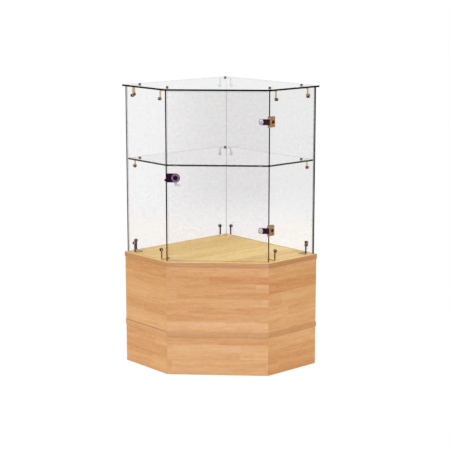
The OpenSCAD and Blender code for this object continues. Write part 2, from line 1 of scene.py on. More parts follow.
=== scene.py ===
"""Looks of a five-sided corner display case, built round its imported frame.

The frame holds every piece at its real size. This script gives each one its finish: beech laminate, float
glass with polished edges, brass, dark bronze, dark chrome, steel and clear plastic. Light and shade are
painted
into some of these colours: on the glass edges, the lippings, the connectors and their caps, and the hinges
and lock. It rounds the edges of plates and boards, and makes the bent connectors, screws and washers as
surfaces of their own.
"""

import json
import logging
import math
from dataclasses import dataclass
from enum import Enum
from typing import Any, Iterable, Sequence

import bmesh
import bpy
import numpy as np
from mathutils import Matrix, Vector

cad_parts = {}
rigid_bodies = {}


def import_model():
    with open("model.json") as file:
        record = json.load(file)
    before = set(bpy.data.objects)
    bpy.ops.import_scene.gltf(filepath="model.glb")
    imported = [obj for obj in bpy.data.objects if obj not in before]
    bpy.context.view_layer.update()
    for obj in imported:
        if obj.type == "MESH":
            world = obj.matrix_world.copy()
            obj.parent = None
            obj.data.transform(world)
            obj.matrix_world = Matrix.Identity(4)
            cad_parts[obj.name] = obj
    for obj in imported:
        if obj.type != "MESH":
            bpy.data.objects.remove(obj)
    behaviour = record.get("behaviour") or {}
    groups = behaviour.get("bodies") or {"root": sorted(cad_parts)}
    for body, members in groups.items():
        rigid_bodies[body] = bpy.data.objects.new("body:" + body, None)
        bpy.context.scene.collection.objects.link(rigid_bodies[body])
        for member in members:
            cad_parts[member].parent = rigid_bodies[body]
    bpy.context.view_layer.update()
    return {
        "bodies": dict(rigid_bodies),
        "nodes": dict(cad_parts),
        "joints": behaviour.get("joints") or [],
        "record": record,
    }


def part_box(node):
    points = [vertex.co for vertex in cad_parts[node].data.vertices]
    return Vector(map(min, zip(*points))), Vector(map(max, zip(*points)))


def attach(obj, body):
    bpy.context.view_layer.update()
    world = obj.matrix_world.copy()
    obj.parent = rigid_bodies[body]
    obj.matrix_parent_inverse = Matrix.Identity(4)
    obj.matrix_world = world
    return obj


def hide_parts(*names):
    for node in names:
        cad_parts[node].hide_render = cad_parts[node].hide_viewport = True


LOG = logging.getLogger("display_case")
MM = 0.001
ROOT2 = math.sqrt(2.0)

# Edges that turn by more than this are sharp, and faces that differ by less are one flat face
SHARP_ANGLE = math.radians(32.0)
FLAT_ANGLE = math.radians(0.4)

# A face whose normal rises by less than this is upright
LEVEL_FACE = 0.7

# Points nearer than this are one, and faces that touch are drawn apart by a hair
SAME_POINT = 0.002 * MM
HAIR = 0.04 * MM
FINE_HAIR = 0.01 * MM

# A point at a sharp corner moves at most this many times as far as the faces round it
MOST_MOVE = 3.0


class Body(Enum):
    """Bodies of the frame that a piece can ride on."""

    CABINET = "cabinet"
    DOOR = "door"
    PLUG = "lock_plug"


class Slot(Enum):
    """Material slots of the record that the pieces stand for."""

    PANEL = "beech_panel"
    BOARD = "beech_board"
    EDGE = "beech_edge"
    GLASS = "clear_glass"
    BRASS = "polished_brass"
    CHROME = "dark_chrome"
    STEEL = "bright_steel"
    PLASTIC = "clear_plastic"
    BRONZE = "dark_bronze"


# Colours and nodes


def linear(hex_colour: str) -> tuple[float, float, float, float]:
    """Turns an sRGB hex colour such as "#dca878" into a linear colour with full alpha.

    Args:
        hex_colour: the colour, as a hash mark and six hex digits.

    Returns:
        Linear red, green and blue, and an alpha of 1.
    """
    srgb = np.array([int(hex_colour[i : i + 2], 16) for i in (1, 3, 5)]) / 255.0
    value = np.where(srgb <= 0.04045, srgb / 12.92, ((srgb + 0.055) / 1.055) ** 2.4)
    return (*map(float, value), 1.0)


@dataclass
class Graph:
    """Node tree of one material or world."""

    tree: bpy.types.NodeTree

    def add(
        self,
        kind: str,
        links: dict[Any, Any] | None = None,
        stops: Sequence[tuple[float, str]] = (),
        **settings: Any,
    ) -> bpy.types.Node:
        """Adds one node with its settings and links.

        Args:
            kind: Blender's name for the node's type.
            links: input names or numbers, each with the output socket or the plain value that it gets.
            stops: the places of a colour ramp from 0 to 1, each with its sRGB hex colour.
            settings: attributes of the node itself.

        Returns:
            The new node.
        """
        node = self.tree.nodes.new(kind)
        for name, value in settings.items():
            setattr(node, name, value)
        for name, source in (links or {}).items():
            if isinstance(source, bpy.types.NodeSocket):
                self.tree.links.new(source, node.inputs[name])
            else:
                node.inputs[name].default_value = source
        for _ in stops[2:]:
            node.color_ramp.elements.new(0.5)
        for number, (place, colour) in enumerate(stops):
            node.color_ramp.elements[number].position = place
            node.color_ramp.elements[number].color = linear(colour)
        return node


def new_material(name: str) -> tuple[bpy.types.Material, Graph, bpy.types.Node]:
    """Makes an empty node material.

    Args:
        name: the material's name.

    Returns:
        The material, its graph and its output node.
    """
    material = bpy.data.materials.new(name)
    material.use_nodes = True
    material.node_tree.nodes.clear()
    graph = Graph(material.node_tree)
    return material, graph, graph.add("ShaderNodeOutputMaterial")


# Finishes


@dataclass(frozen=True)
class BeechLaminate:
    """Melamine-faced board printed with planked beech, pressed smooth.

    The eye sees strips of slightly different tone with staggered butt joints, long streaks of grain, short
    ray flecks, and a low satin sheen. The pattern follows the piece's own UV map, which is in metres, with U
    along the grain. Each depth is how far its feature moves the tone, where dark is 0 and light is 1.
    """

    name: str
    dark: str
    middle: str
    light: str
    strip_mm: float = 27.0
    plank_mm: float = 330.0
    streak_mm: float = 3.4
    fleck_mm: float = 0.9
    mottle_mm: float = 8.0
    tone_spread: float = 0.8
    row_share: float = 0.75
    streak_depth: float = 0.26
    broad_depth: float = 0.18
    mottle_depth: float = 0.10
    fleck_depth: float = 0.07
    line_depth: float = 0.10
    line_share: float = 0.035
    rough_low: float = 0.40
    rough_high: float = 0.52
    grain_mm: float = 0.06
    shift: tuple[float, float] = (0.0, 0.0)

    def material(self) -> bpy.types.Material:
        """Builds the laminate's material.

        Returns:
            The material.
        """
        material, g, out = new_material(self.name)
        uv = g.add("ShaderNodeUVMap", uv_map="grain")
        placed = g.add("ShaderNodeMapping", {"Vector": uv.outputs[0], "Location": (*self.shift, 0.0)})
        strips, row_random, plank_random = self.planks(g, placed)
        streaks, broad = self.streaks(g, placed, plank_random)
        flecks, mottle = self.flecks(g, placed)

        # Tone of the strip and its plank, then streaks, mottle and flecks, added round the middle
        both = g.add(
            "ShaderNodeMix",
            {0: self.row_share, 2: plank_random.outputs["Value"], 3: row_random.outputs["Value"]},
            data_type="FLOAT",
        )
        half = (1.0 - self.tone_spread) / 2.0
        tone = g.add("ShaderNodeMapRange", {0: both.outputs[0], 3: half, 4: 1.0 - half})
        depths = ((streaks, self.streak_depth), (broad, self.broad_depth), (mottle, self.mottle_depth))
        for noise, depth in depths:
            swing = g.add(
                "ShaderNodeMapRange", {0: noise.outputs["Fac"], 1: 0.3, 2: 0.7, 3: -depth, 4: depth}
            )
            tone = g.add("ShaderNodeMath", {0: tone.outputs[0], 1: swing.outputs[0]}, operation="ADD")
        flecked = g.add("ShaderNodeMath", {0: tone.outputs[0], 1: flecks.outputs[0]}, operation="SUBTRACT")
        stops = [(0.0, self.dark), (0.5, self.middle), (1.0, self.light)]
        colour = g.add("ShaderNodeValToRGB", {0: flecked.outputs[0]}, stops)

        # Hairline where two printed strips meet
        in_strip = g.add("ShaderNodeMath", {0: strips.outputs[0]}, operation="FRACT")
        line = g.add(
            "ShaderNodeMapRange",
            {0: in_strip.outputs[0], 1: 0.0, 2: self.line_share, 3: self.line_depth, 4: 0.0},
            interpolation_type="SMOOTHSTEP",
        )
        lined = g.add(
            "ShaderNodeMix", {0: line.outputs[0], 6: colour.outputs[0], 7: linear(self.dark)},
            data_type="RGBA",
        )
        rough = g.add(
            "ShaderNodeMapRange", {0: streaks.outputs["Fac"], 3: self.rough_low, 4: self.rough_high}
        )
        bump = g.add(
            "ShaderNodeBump",
            {"Height": streaks.outputs["Fac"], "Distance": self.grain_mm * MM, "Strength": 0.5},
        )
        shader = g.add(
            "ShaderNodeBsdfPrincipled",
            {"Base Color": lined.outputs[2], "Roughness": rough.outputs[0], "Normal": bump.outputs[0],
             "Specular IOR Level": 0.4},
        )
        g.tree.links.new(shader.outputs[0], out.inputs[0])
        return material

    def planks(self, g: Graph, placed: bpy.types.Node) -> tuple[bpy.types.Node, ...]:
        """Lays out the strips, and the planks along each strip, whose start is shifted by a random length.

        Args:
            g: the material's graph.
            placed: the node of the place on the printed sheet.

        Returns:
            The nodes of the place counted in strips, of each strip's random value and of each plank's.
        """
        parts = g.add("ShaderNodeSeparateXYZ", {0: placed.outputs[0]})
        along, across = parts.outputs[0], parts.outputs[1]
        strips = g.add("ShaderNodeMath", {0: across, 1: 1.0 / (self.strip_mm * MM)}, operation="MULTIPLY")
        row = g.add("ShaderNodeMath", {0: strips.outputs[0]}, operation="FLOOR")
        row_random = g.add("ShaderNodeTexWhiteNoise", {"W": row.outputs[0]}, noise_dimensions="1D")
        planks = g.add("ShaderNodeMath", {0: along, 1: 1.0 / (self.plank_mm * MM)}, operation="MULTIPLY")
        shifted = g.add(
            "ShaderNodeMath", {0: planks.outputs[0], 1: row_random.outputs[0]}, operation="ADD"
        )
        plank = g.add("ShaderNodeMath", {0: shifted.outputs[0]}, operation="FLOOR")
        cell = g.add("ShaderNodeCombineXYZ", {0: row.outputs[0], 1: plank.outputs[0]})
        plank_random = g.add("ShaderNodeTexWhiteNoise", {"Vector": cell.outputs[0]}, noise_dimensions="2D")
        return strips, row_random, plank_random

    def streaks(
        self, g: Graph, placed: bpy.types.Node, plank_random: bpy.types.Node
    ) -> tuple[bpy.types.Node, bpy.types.Node]:
        """Draws streaks out along the grain, different in each plank.

        Args:
            g: the material's graph.
            placed: the node of the place on the printed sheet.
            plank_random: the node of each plank's random value.

        Returns:
            The noise of the fine streaks and that of the broad ones.
        """
        stretched = g.add(
            "ShaderNodeMapping",
            {"Vector": placed.outputs[0], "Scale": (0.055, 1.0, 1.0), "Rotation": (0.0, 0.0, 0.006)},
        )
        own = g.add(
            "ShaderNodeVectorMath", {0: stretched.outputs[0], 1: plank_random.outputs["Color"]},
            operation="ADD",
        )
        fine = g.add(
            "ShaderNodeTexNoise",
            {"Vector": own.outputs[0], "Scale": 1.0 / (self.streak_mm * MM), "Detail": 3.0,
             "Roughness": 0.62, "Distortion": 0.25},
        )
        broad = g.add(
            "ShaderNodeTexNoise",
            {"Vector": own.outputs[0], "Scale": 1.0 / (6.0 * self.streak_mm * MM), "Detail": 2.0,
             "Roughness": 0.5},
        )
        return fine, broad

    def flecks(self, g: Graph, placed: bpy.types.Node) -> tuple[bpy.types.Node, bpy.types.Node]:
        """Scatters short ray flecks, and mottles the sheet.

        Args:
            g: the material's graph.
            placed: the node of the place on the printed sheet.

        Returns:
            The node of how much darker the flecks are, and the mottle's noise.
        """
        fleck_space = g.add("ShaderNodeMapping", {"Vector": placed.outputs[0], "Scale": (0.16, 1.0, 1.0)})
        cells = g.add(
            "ShaderNodeTexVoronoi",
            {"Vector": fleck_space.outputs[0], "Scale": 1.0 / (2.4 * self.fleck_mm * MM), "Randomness": 1.0},
        )
        flecks = g.add(
            "ShaderNodeMapRange",
            {0: cells.outputs["Distance"], 1: 0.05, 2: 0.32, 3: self.fleck_depth, 4: 0.0},
            interpolation_type="SMOOTHSTEP",
        )
        mottle_space = g.add("ShaderNodeMapping", {"Vector": placed.outputs[0], "Scale": (0.5, 1.0, 1.0)})
        mottle = g.add(
            "ShaderNodeTexNoise",
            {"Vector": mottle_space.outputs[0], "Scale": 1.0 / (self.mottle_mm * MM), "Detail": 2.0},
        )
        return flecks, mottle


@dataclass(frozen=True)
class SawnPine:
    """Sawn softwood of the hidden blocks and dowels: pale, with wide soft growth rings and no sheen."""

    name: str = "sawn_pine"
    early: str = "#e2c796"
    late: str = "#c79c63"
    ring_mm: float = 4.0

    def material(self) -> bpy.types.Material:
        """Builds the pine's material from its object coordinates.

        Returns:
            The material.
        """
        material, g, out = new_material(self.name)
        place = g.add("ShaderNodeTexCoord")
        long_way = g.add("ShaderNodeMapping", {"Vector": place.outputs["Object"], "Scale": (1.0, 1.0, 0.06)})
        rings = g.add(
            "ShaderNodeTexNoise",
            {"Vector": long_way.outputs[0], "Scale": 1.0 / (self.ring_mm * MM), "Detail": 3.0},
        )
        stops = [(0.35, self.early), (0.65, self.late)]
        colour = g.add("ShaderNodeValToRGB", {0: rings.outputs["Fac"]}, stops)
        shader = g.add("ShaderNodeBsdfPrincipled", {"Base Color": colour.outputs[0], "Roughness": 0.8})
        g.tree.links.new(shader.outputs[0], out.inputs[0])
        return material


@dataclass(frozen=True)
class FloatGlass:
    """Clear float glass, fire-polished by its making.

    It takes a little light from what is seen through it, a hair more in soft patches, and mirrors what it
    faces. Lamps and soft light pass it straight, as they do through a flat sheet.
    """

    name: str = "clear_float_glass"
    clear: str = "#ffffff"
    soft: str = "#fbfafa"
    patch_mm: float = 11.0
    ior: float = 1.5

    def material(self) -> bpy.types.Material:
        """Builds the glass's material.

        Returns:
            The material.
        """
        material, g, out = new_material(self.name)
        path = g.add("ShaderNodeLightPath")
        place = g.add("ShaderNodeTexCoord")
        patches = g.add(
            "ShaderNodeTexNoise",
            {"Vector": place.outputs["Object"], "Scale": 1.0 / (self.patch_mm * MM), "Detail": 2.0},
        )
        stops = [(0.32, self.soft), (0.68, self.clear)]
        tint = g.add("ShaderNodeValToRGB", {0: patches.outputs["Fac"]}, stops)
        straight = g.add("ShaderNodeBsdfTransparent", {"Color": (1.0, 1.0, 1.0, 1.0)})
        glass = g.add(
            "ShaderNodeBsdfPrincipled",
            {"Base Color": tint.outputs[0], "Roughness": 0.0, "IOR": self.ior, "Transmission Weight": 1.0},
        )
        matt_light = g.add(
            "ShaderNodeMath", {0: path.outputs["Is Shadow Ray"], 1: path.outputs["Is Diffuse Ray"]},
            operation="MAXIMUM",
        )
        mixed = g.add(
            "ShaderNodeMixShader", {0: matt_light.outputs[0], 1: glass.outputs[0], 2: straight.outputs[0]}
        )
        g.tree.links.new(mixed.outputs[0], out.inputs[0])
        return material


@dataclass(frozen=True)
class GlassEdge:
    """Polished edge of a glass sheet, seen along the sheet.

    The light in the sheet is green from its iron and mostly lost, so the edge looks near black with a green
    cast, and a little uneven along its length. Paler and greyer copies of it are painted light, and a darker
    one painted shade, for edges lit through from behind. An edge that stands on the wooden board is painted
    olive below the height foot_start, fading up to foot_top, as a painted reflection of the board. An edge
    without a foot colour isn't.
    """

    name: str
    deep: str
    shine: str
    foot: str = ""
    foot_start: float = 0.0
    foot_top: float = 0.0
    patch_mm: float = 24.0

    def material(self) -> bpy.types.Material:
        """Builds the edge's material.

        Returns:
            The material.
        """
        material, g, out = new_material(self.name)
        place = g.add("ShaderNodeTexCoord")
        patches = g.add(
            "ShaderNodeTexNoise",
            {"Vector": place.outputs["Object"], "Scale": 1.0 / (self.patch_mm * MM), "Detail": 2.0},
        )
        stops = [(0.38, self.deep), (0.72, self.shine)]
        ramp = g.add("ShaderNodeValToRGB", {0: patches.outputs["Fac"]}, stops)
        colour = ramp.outputs[0]
        if self.foot:
            parts = g.add("ShaderNodeSeparateXYZ", {0: place.outputs["Object"]})
            height = g.add(
                "ShaderNodeMapRange", {0: parts.outputs[2], 1: self.foot_start, 2: self.foot_top},
                interpolation_type="SMOOTHSTEP",
            )
            blend = g.add(
                "ShaderNodeMix", {0: height.outputs[0], 6: linear(self.foot), 7: colour}, data_type="RGBA",
            )
            colour = blend.outputs[2]
        rough = g.add("ShaderNodeMapRange", {0: patches.outputs["Fac"], 3: 0.16, 4: 0.30})
        shader = g.add(
            "ShaderNodeBsdfPrincipled",
            {"Base Color": colour, "Roughness": rough.outputs[0], "Specular IOR Level": 0.12},
        )
        g.tree.links.new(shader.outputs[0], out.inputs[0])
        return material


@dataclass(frozen=True)
class Metal:
    """Turned, pressed or cast metal with a polished or plated face.

    Fine polishing marks make its gloss uneven, and its colour runs in patches from bright to dull: faint
    handling marks on most metals, and blotches of painted highlight and painted dark reflection on the hinge
    leaves, the hinge heads and the lock ring. A tarnished or lacquered metal has a dark edge_tint, which
    keeps its slanting parts from shining white, or a metallic share below 1.
    """

    name: str
    bright: str
    dull: str
    rough_low: float
    rough_high: float
    patch_mm: float = 9.0
    mark_mm: float = 0.7
    mark_depth_mm: float = 0.02
    metallic: float = 1.0
    edge_tint: str = "#ffffff"

    def material(self) -> bpy.types.Material:
        """Builds the metal's material.

        Returns:
            The material.
        """
        material, g, out = new_material(self.name)
        place = g.add("ShaderNodeTexCoord")
        patches = g.add(
            "ShaderNodeTexNoise",
            {"Vector": place.outputs["Object"], "Scale": 1.0 / (self.patch_mm * MM), "Detail": 3.0},
        )
        marks = g.add(
            "ShaderNodeTexNoise",
            {"Vector": place.outputs["Object"], "Scale": 1.0 / (self.mark_mm * MM), "Detail": 2.0},
        )
        stops = [(0.35, self.bright), (0.75, self.dull)]
        colour = g.add("ShaderNodeValToRGB", {0: patches.outputs["Fac"]}, stops)
        rough = g.add(
            "ShaderNodeMapRange",
            {0: patches.outputs["Fac"], 1: 0.3, 2: 0.7, 3: self.rough_low, 4: self.rough_high},
        )
        bump = g.add(
            "ShaderNodeBump",
            {"Height": marks.outputs["Fac"], "Distance": self.mark_depth_mm * MM, "Strength": 0.25},
        )
        shader = g.add(
            "ShaderNodeBsdfPrincipled",
            {"Base Color": colour.outputs[0], "Metallic": self.metallic, "Roughness": rough.outputs[0],
             "Normal": bump.outputs[0], "Specular Tint": linear(self.edge_tint)},
        )
        g.tree.links.new(shader.outputs[0], out.inputs[0])
        return material


@dataclass(frozen=True)
class ClearPlastic:
    """Clear plastic of the washers, gaskets and shelf clips: glassy, and hardly to be seen on glass."""

    name: str = "moulded_clear_plastic"
    tint: str = "#f6f6f4"
    body_share: float = 0.12
    cloud_mm: float = 2.5

    def material(self) -> bpy.types.Material:
        """Builds the plastic's material.

        Returns:
            The material.
        """
        material, g, out = new_material(self.name)
        place = g.add("ShaderNodeTexCoord")
        cloud = g.add(
            "ShaderNodeTexNoise", {"Vector": place.outputs["Object"], "Scale": 1.0 / (self.cloud_mm * MM)}
        )
        rough = g.add("ShaderNodeMapRange", {0: cloud.outputs["Fac"], 3: 0.12, 4: 0.22})
        body = g.add(
            "ShaderNodeBsdfPrincipled",
            {"Base Color": linear(self.tint), "Roughness": rough.outputs[0], "IOR": 1.49},
        )
        clear = g.add("ShaderNodeBsdfTransparent", {"Color": linear(self.tint)})
        mixed = g.add("ShaderNodeMixShader", {0: self.body_share, 1: clear.outputs[0], 2: body.outputs[0]})
        g.tree.links.new(mixed.outputs[0], out.inputs[0])
        return material


@dataclass
class Finishes:
    """Every material of the case, made once."""

    front_beech: bpy.types.Material
    side_beech: bpy.types.Material
    board_beech: bpy.types.Material
    plinth_beech: bpy.types.Material
    lippings: dict[str, list[bpy.types.Material]]
    pine: bpy.types.Material
    glass: bpy.types.Material
    door_glass: bpy.types.Material
    painted_grey_edge: bpy.types.Material
    dark_edge: bpy.types.Material
    board_reflection_edge: bpy.types.Material
    painted_backlit_edge: bpy.types.Material
    painted_dim_edge: bpy.types.Material
    shaded_edge: bpy.types.Material
    wood_lit_edge: bpy.types.Material
    brass: bpy.types.Material
    brass_painted_pale: bpy.types.Material
    brass_painted_grey: bpy.types.Material
    leaf_brass_painted_blotches: bpy.types.Material
    leaf_painted_shade_rim: bpy.types.Material
    disc_painted_dark: bpy.types.Material
    bronze: bpy.types.Material
    painted_black_bronze: bpy.types.Material
    painted_olive_bronze: bpy.types.Material
    foot_brass_painted_lit: bpy.types.Material
    foot_painted_pale: bpy.types.Material
    cap: bpy.types.Material
    cap_painted_dark_rim: bpy.types.Material
    cap_painted_dark: bpy.types.Material
    leaf_screw: bpy.types.Material
    chrome: bpy.types.Material
    lock_chrome: bpy.types.Material
    chrome_painted_glints: bpy.types.Material
    ring_painted_glints: bpy.types.Material
    steel: bpy.types.Material
    zinc: bpy.types.Material
    plastic: bpy.types.Material


# Dark, middle and light tone of each board's left, front and right lipping, each strip toned to how its side
# is lit, so that the right strips carry painted shade, and of its upper arris: a painted highlight line on
# the top board and a painted shadow line on the floor board
LIPPING_TONES = {
    "top_board": {
        "left": ("#bd8650", "#ca925c", "#d8a26e"),
        "front": ("#bb8659", "#ca9569", "#d8a77c"),
        "right": ("#b47c4a", "#c48a57", "#d29c68"),
        "arris": ("#e4bd8c", "#efcb9a", "#f8d8aa"),
    },
    "floor_board": {
        "left": ("#cb905a", "#dba16a", "#e6b17c"),
        "front": ("#bf8d62", "#cd9a6d", "#dcae85"),
        "right": ("#bb834e", "#ca925c", "#d8a26e"),
        "arris": ("#6a4020", "#7c4e2a", "#8c5c36"),
    },
}


def lipping_set(board: str, tones: dict[str, tuple[str, str, str]]) -> list[bpy.types.Material]:
    """Makes the materials of one board's lippings.

    Args:
        board: the board's name.
        tones: for each strip and for the arris, its dark, middle and light tone.

    Returns:
        The materials of the left, front and right strip and of the arris.
    """
    return [
        BeechLaminate(f"{board}_lipping_{strip}", *three, strip_mm=200.0, tone_spread=0.2).material()
        for strip, three in tones.items()
    ]


def make_finishes() -> Finishes:
    """Makes the case's materials.

    Returns:
        The materials, by use.
    """
    board_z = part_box("top_board")[1].z
    return Finishes(
        front_beech=BeechLaminate("planked_beech_front", "#cc8d59", "#d9a36f", "#e6b88b").material(),
        side_beech=BeechLaminate(
            "planked_beech_side", "#cc894e", "#daa268", "#e7b67e", strip_mm=44.0, shift=(0.31, 0.013)
        ).material(),
        plinth_beech=BeechLaminate("planked_beech_plinth", "#cb8d59", "#d8a36f", "#e4b789").material(),
        lippings={board: lipping_set(board, tones) for board, tones in LIPPING_TONES.items()},
        board_beech=BeechLaminate(
            "planked_beech_top", "#dcac52", "#f6ce77", "#fee092",
            strip_mm=52.0, plank_mm=600.0, tone_spread=0.6,
        ).material(),
        pine=SawnPine().material(),
        glass=FloatGlass().material(),
        door_glass=FloatGlass("clear_float_glass_door", "#fbfafa", "#f4f3f3").material(),
        # Edge tones of the glass: the grey, pale and dim ones are painted light and the shaded one painted
        # shade, where an edge is lit through from behind; the olive foot is a painted reflection of the
        # board, and the wood-lit edge a painted reflection of the wood below.
        painted_grey_edge=GlassEdge("polished_glass_edge_painted_grey", "#3c3337", "#5a5254").material(),
        dark_edge=GlassEdge("polished_glass_edge_dark", "#030504", "#10201a").material(),
        board_reflection_edge=GlassEdge(
            "polished_glass_edge_painted_board_reflection", "#030504", "#10201a", "#6b5630", board_z + 0.062, board_z + 0.080
        ).material(),
        painted_backlit_edge=GlassEdge("polished_glass_edge_painted_backlight", "#ccc8c6", "#e0dcda").material(),
        painted_dim_edge=GlassEdge("polished_glass_edge_painted_dim", "#969292", "#b0acac").material(),
        shaded_edge=GlassEdge("polished_glass_edge_shaded", "#1c2422", "#343c3a").material(),
        wood_lit_edge=GlassEdge("polished_glass_edge_painted_wood_reflection", "#e8cc98", "#f4dcae").material(),
        brass=Metal("polished_brass", "#e0c08e", "#c09d6a", 0.18, 0.32).material(),
        # Brass of the back connectors, painted pale under the top glass and grey under the shelf: painted
        # light and painted shade on one brass.
        brass_painted_pale=Metal("brass_painted_pale_light", "#a8a2a8", "#7e787e", 0.30, 0.42).material(),
        brass_painted_grey=Metal(
            "brass_painted_grey_shade", "#645e62", "#443e42", 0.30, 0.42, edge_tint="#645e62"
        ).material(),
        # Brass discs of the legs, painted dark as a painted dark reflection.
        disc_painted_dark=Metal(
            "brass_disc_painted_dark", "#86543e", "#5a3026", 0.20, 0.34, edge_tint="#704838"
        ).material(),
        # Brass of the pane leaves, with dark blotches of painted reflection, and a darker brass rim as
        # painted shade on their rounded edges.
        leaf_brass_painted_blotches=Metal(
            "pressed_brass_leaf", "#dcb082", "#6c4426", 0.26, 0.40, patch_mm=5.0, metallic=0.45
        ).material(),
        leaf_painted_shade_rim=Metal("pressed_brass_leaf_painted_shade_rim", "#86683e", "#644a2a", 0.28, 0.40).material(),
        # Brass of the base connectors and hinge pins, painted dark red, near black and olive as painted
        # shade; the feet painted lighter, palest at the back, as painted light.
        bronze=Metal(
            "brass_painted_dark_bronze", "#6c1c0a", "#3c0c04", 0.20, 0.36, edge_tint="#5c2c20"
        ).material(),
        painted_black_bronze=Metal(
            "brass_painted_black", "#380a04", "#1a0402", 0.20, 0.36, edge_tint="#301410"
        ).material(),
        painted_olive_bronze=Metal(
            "brass_painted_olive", "#96621e", "#64400e", 0.22, 0.36, edge_tint="#7c6040"
        ).material(),
        foot_brass_painted_lit=Metal("brass_foot_painted_lit", "#c8a85e", "#a48846", 0.34, 0.46).material(),
        foot_painted_pale=Metal("brass_foot_painted_bright", "#fff0d2", "#ead2a4", 0.34, 0.46, metallic=0.5).material(),
        # Cap screws: the leg caps' bright crown is a painted highlight and their dark rim painted shade; the
        # same caps on the hubs are painted near black as a painted dark reflection.
        cap=Metal("bronze_cap_painted_bright_crown", "#fae6e6", "#d0acae", 0.10, 0.18).material(),
        cap_painted_dark_rim=Metal(
            "bronze_cap_painted_dark_rim", "#401816", "#240c0a", 0.16, 0.28, edge_tint="#502c28"
        ).material(),
        cap_painted_dark=Metal(
            "bronze_cap_painted_dark", "#26161f", "#140a10", 0.12, 0.22, edge_tint="#281824"
        ).material(),
        leaf_screw=Metal(
            "bronzed_leaf_screw", "#6c3222", "#38140a", 0.12, 0.24, patch_mm=4.0, edge_tint="#5c3024"
        ).material(),
        chrome=Metal("dark_chrome_plate", "#7d5872", "#573a50", 0.22, 0.34).material(),
        lock_chrome=Metal("purple_black_chrome_plate", "#7c3470", "#3e1a3a", 0.24, 0.38).material(),
        # Chrome of the hinge heads and lock ring, in blotches of painted highlight and painted dark
        # reflection.
        chrome_painted_glints=Metal(
            "chrome_plate_painted_glints", "#f4ecfa", "#4c2c50", 0.38, 0.52, patch_mm=4.0, metallic=0.55
        ).material(),
        ring_painted_glints=Metal(
            "chrome_ring_painted_glints", "#b49cb8", "#2c1830", 0.34, 0.48, patch_mm=7.0, metallic=0.55
        ).material(),
        steel=Metal("bright_zinc_steel", "#b9b9bb", "#98989b", 0.26, 0.42).material(),
        zinc=Metal("satin_zinc_plate", "#ececed", "#dededf", 0.45, 0.60, metallic=0.5).material(),
        plastic=ClearPlastic().material(),
    )


# Shapes


@dataclass
class Shape:
    """Points and faces of a surface, before it becomes a mesh."""

    points: np.ndarray
    faces: list[list[int]]

    def moved(self, matrix: Matrix) -> "Shape":
        """Carries the shape by a matrix, and turns its faces round where the matrix mirrors.

        Args:
            matrix: a 4 by 4 matrix.

        Returns:
            The carried shape.
        """
        m = np.array(matrix)
        points = self.points @ m[:3, :3].T + m[:3, 3]
        faces = self.faces if np.linalg.det(m[:3, :3]) > 0 else [face[::-1] for face in self.faces]
        return Shape(points, faces)

    def plus(self, *others: "Shape") -> "Shape":
        """Puts this shape and others in one.

        Args:
            others: the shapes to add.

        Returns:
            One shape with the shells of all.
        """
        return joined([self, *others])


def joined(shapes: Iterable[Shape]) -> Shape:
    """Puts several shapes in one, each as a shell of its own.

    Args:
        shapes: the shapes.

    Returns:
        One shape.
    """
    points, faces, count = [], [], 0
    for shape in shapes:
        points.append(shape.points)
        faces += [[i + count for i in face] for face in shape.faces]
        count += len(shape.points)
    return Shape(np.concatenate(points), faces)


def band_faces(rings: int, around: int) -> np.ndarray:
    """Quads between neighbouring rings of points, each ring closed on itself.

    Args:
        rings: how many rings there are.
        around: how many points each ring has.

    Returns:
        Point numbers, four to a row.
    """
    i = np.arange(rings - 1)[:, None] * around
    j = np.arange(around)[None, :]
    k = (j + 1) % around
    return np.stack([i + j, i + k, i + around + k, i + around + j], axis=-1).reshape(-1, 4)


def turned(
    profile: Sequence[tuple[float, float]], segments: int = 40, six_sided: Sequence[int] = ()
) -> Shape:
    """Turns a profile round the Z axis.

    A point at radius r and height z goes to (r cos a, r sin a, z) for each angle a. On the points named in
    six_sided, r is the radius of a hexagon's corners, and is made smaller between them so that the sides are
    flat. The profile runs from the axis out over the lower side, up, and back to the axis, or round a closed
    ring.

    Args:
        profile: radius and height of each point, in metres.
        segments: how many points go round.
        six_sided: numbers of the profile points that lie on a hexagon.

    Returns:
        A closed shape.
    """
    line = np.array(profile, float)
    angle = np.arange(segments) * 2.0 * math.pi / segments
    flat = (angle % (math.pi / 3.0)) - math.pi / 6.0
    radius = np.repeat(line[:, :1], segments, axis=1)
    radius[list(six_sided)] *= math.cos(math.pi / 6.0) / np.cos(flat)
    height = np.repeat(line[:, 1:], segments, axis=1)
    points = np.stack([radius * np.cos(angle), radius * np.sin(angle), height], axis=-1)
    if line[0, 0] > 0.0:
        closed = np.concatenate([points, points[:1]]).reshape(-1, 3)
        quads = band_faces(len(line) + 1, segments) % (len(line) * segments)
        return Shape(closed[: len(line) * segments], quads.tolist())
    rings = points[1:-1].reshape(-1, 3)
    poles = np.array([[0.0, 0.0, line[0, 1]], [0.0, 0.0, line[-1, 1]]])
    j = np.arange(segments)
    k = (j + 1) % segments
    last = (len(line) - 3) * segments
    low, high = len(rings), len(rings) + 1
    fans = np.concatenate(
        [
            np.stack([np.full(segments, low), k, j], axis=-1),
            np.stack([np.full(segments, high), last + j, last + k], axis=-1),
        ]
    )
    faces = band_faces(len(line) - 2, segments).tolist() + fans.tolist()
    return Shape(np.concatenate([rings, poles]), faces)


def arc(
    centre: tuple[float, float], radius: float, start: float, end: float, steps: int
) -> list[tuple[float, float]]:
    """Points on an arc, each at the centre plus the radius turned by an angle from start to end, in degrees.

    Args:
        centre: the arc's centre.
        radius: the arc's radius.
        start: the first angle.
        end: the last angle.
        steps: how many spans the arc has.

    Returns:
        The points.
    """
    angles = np.radians(np.linspace(start, end, steps + 1))
    x = centre[0] + radius * np.cos(angles)
    y = centre[1] + radius * np.sin(angles)
    return list(zip(x.tolist(), y.tolist()))


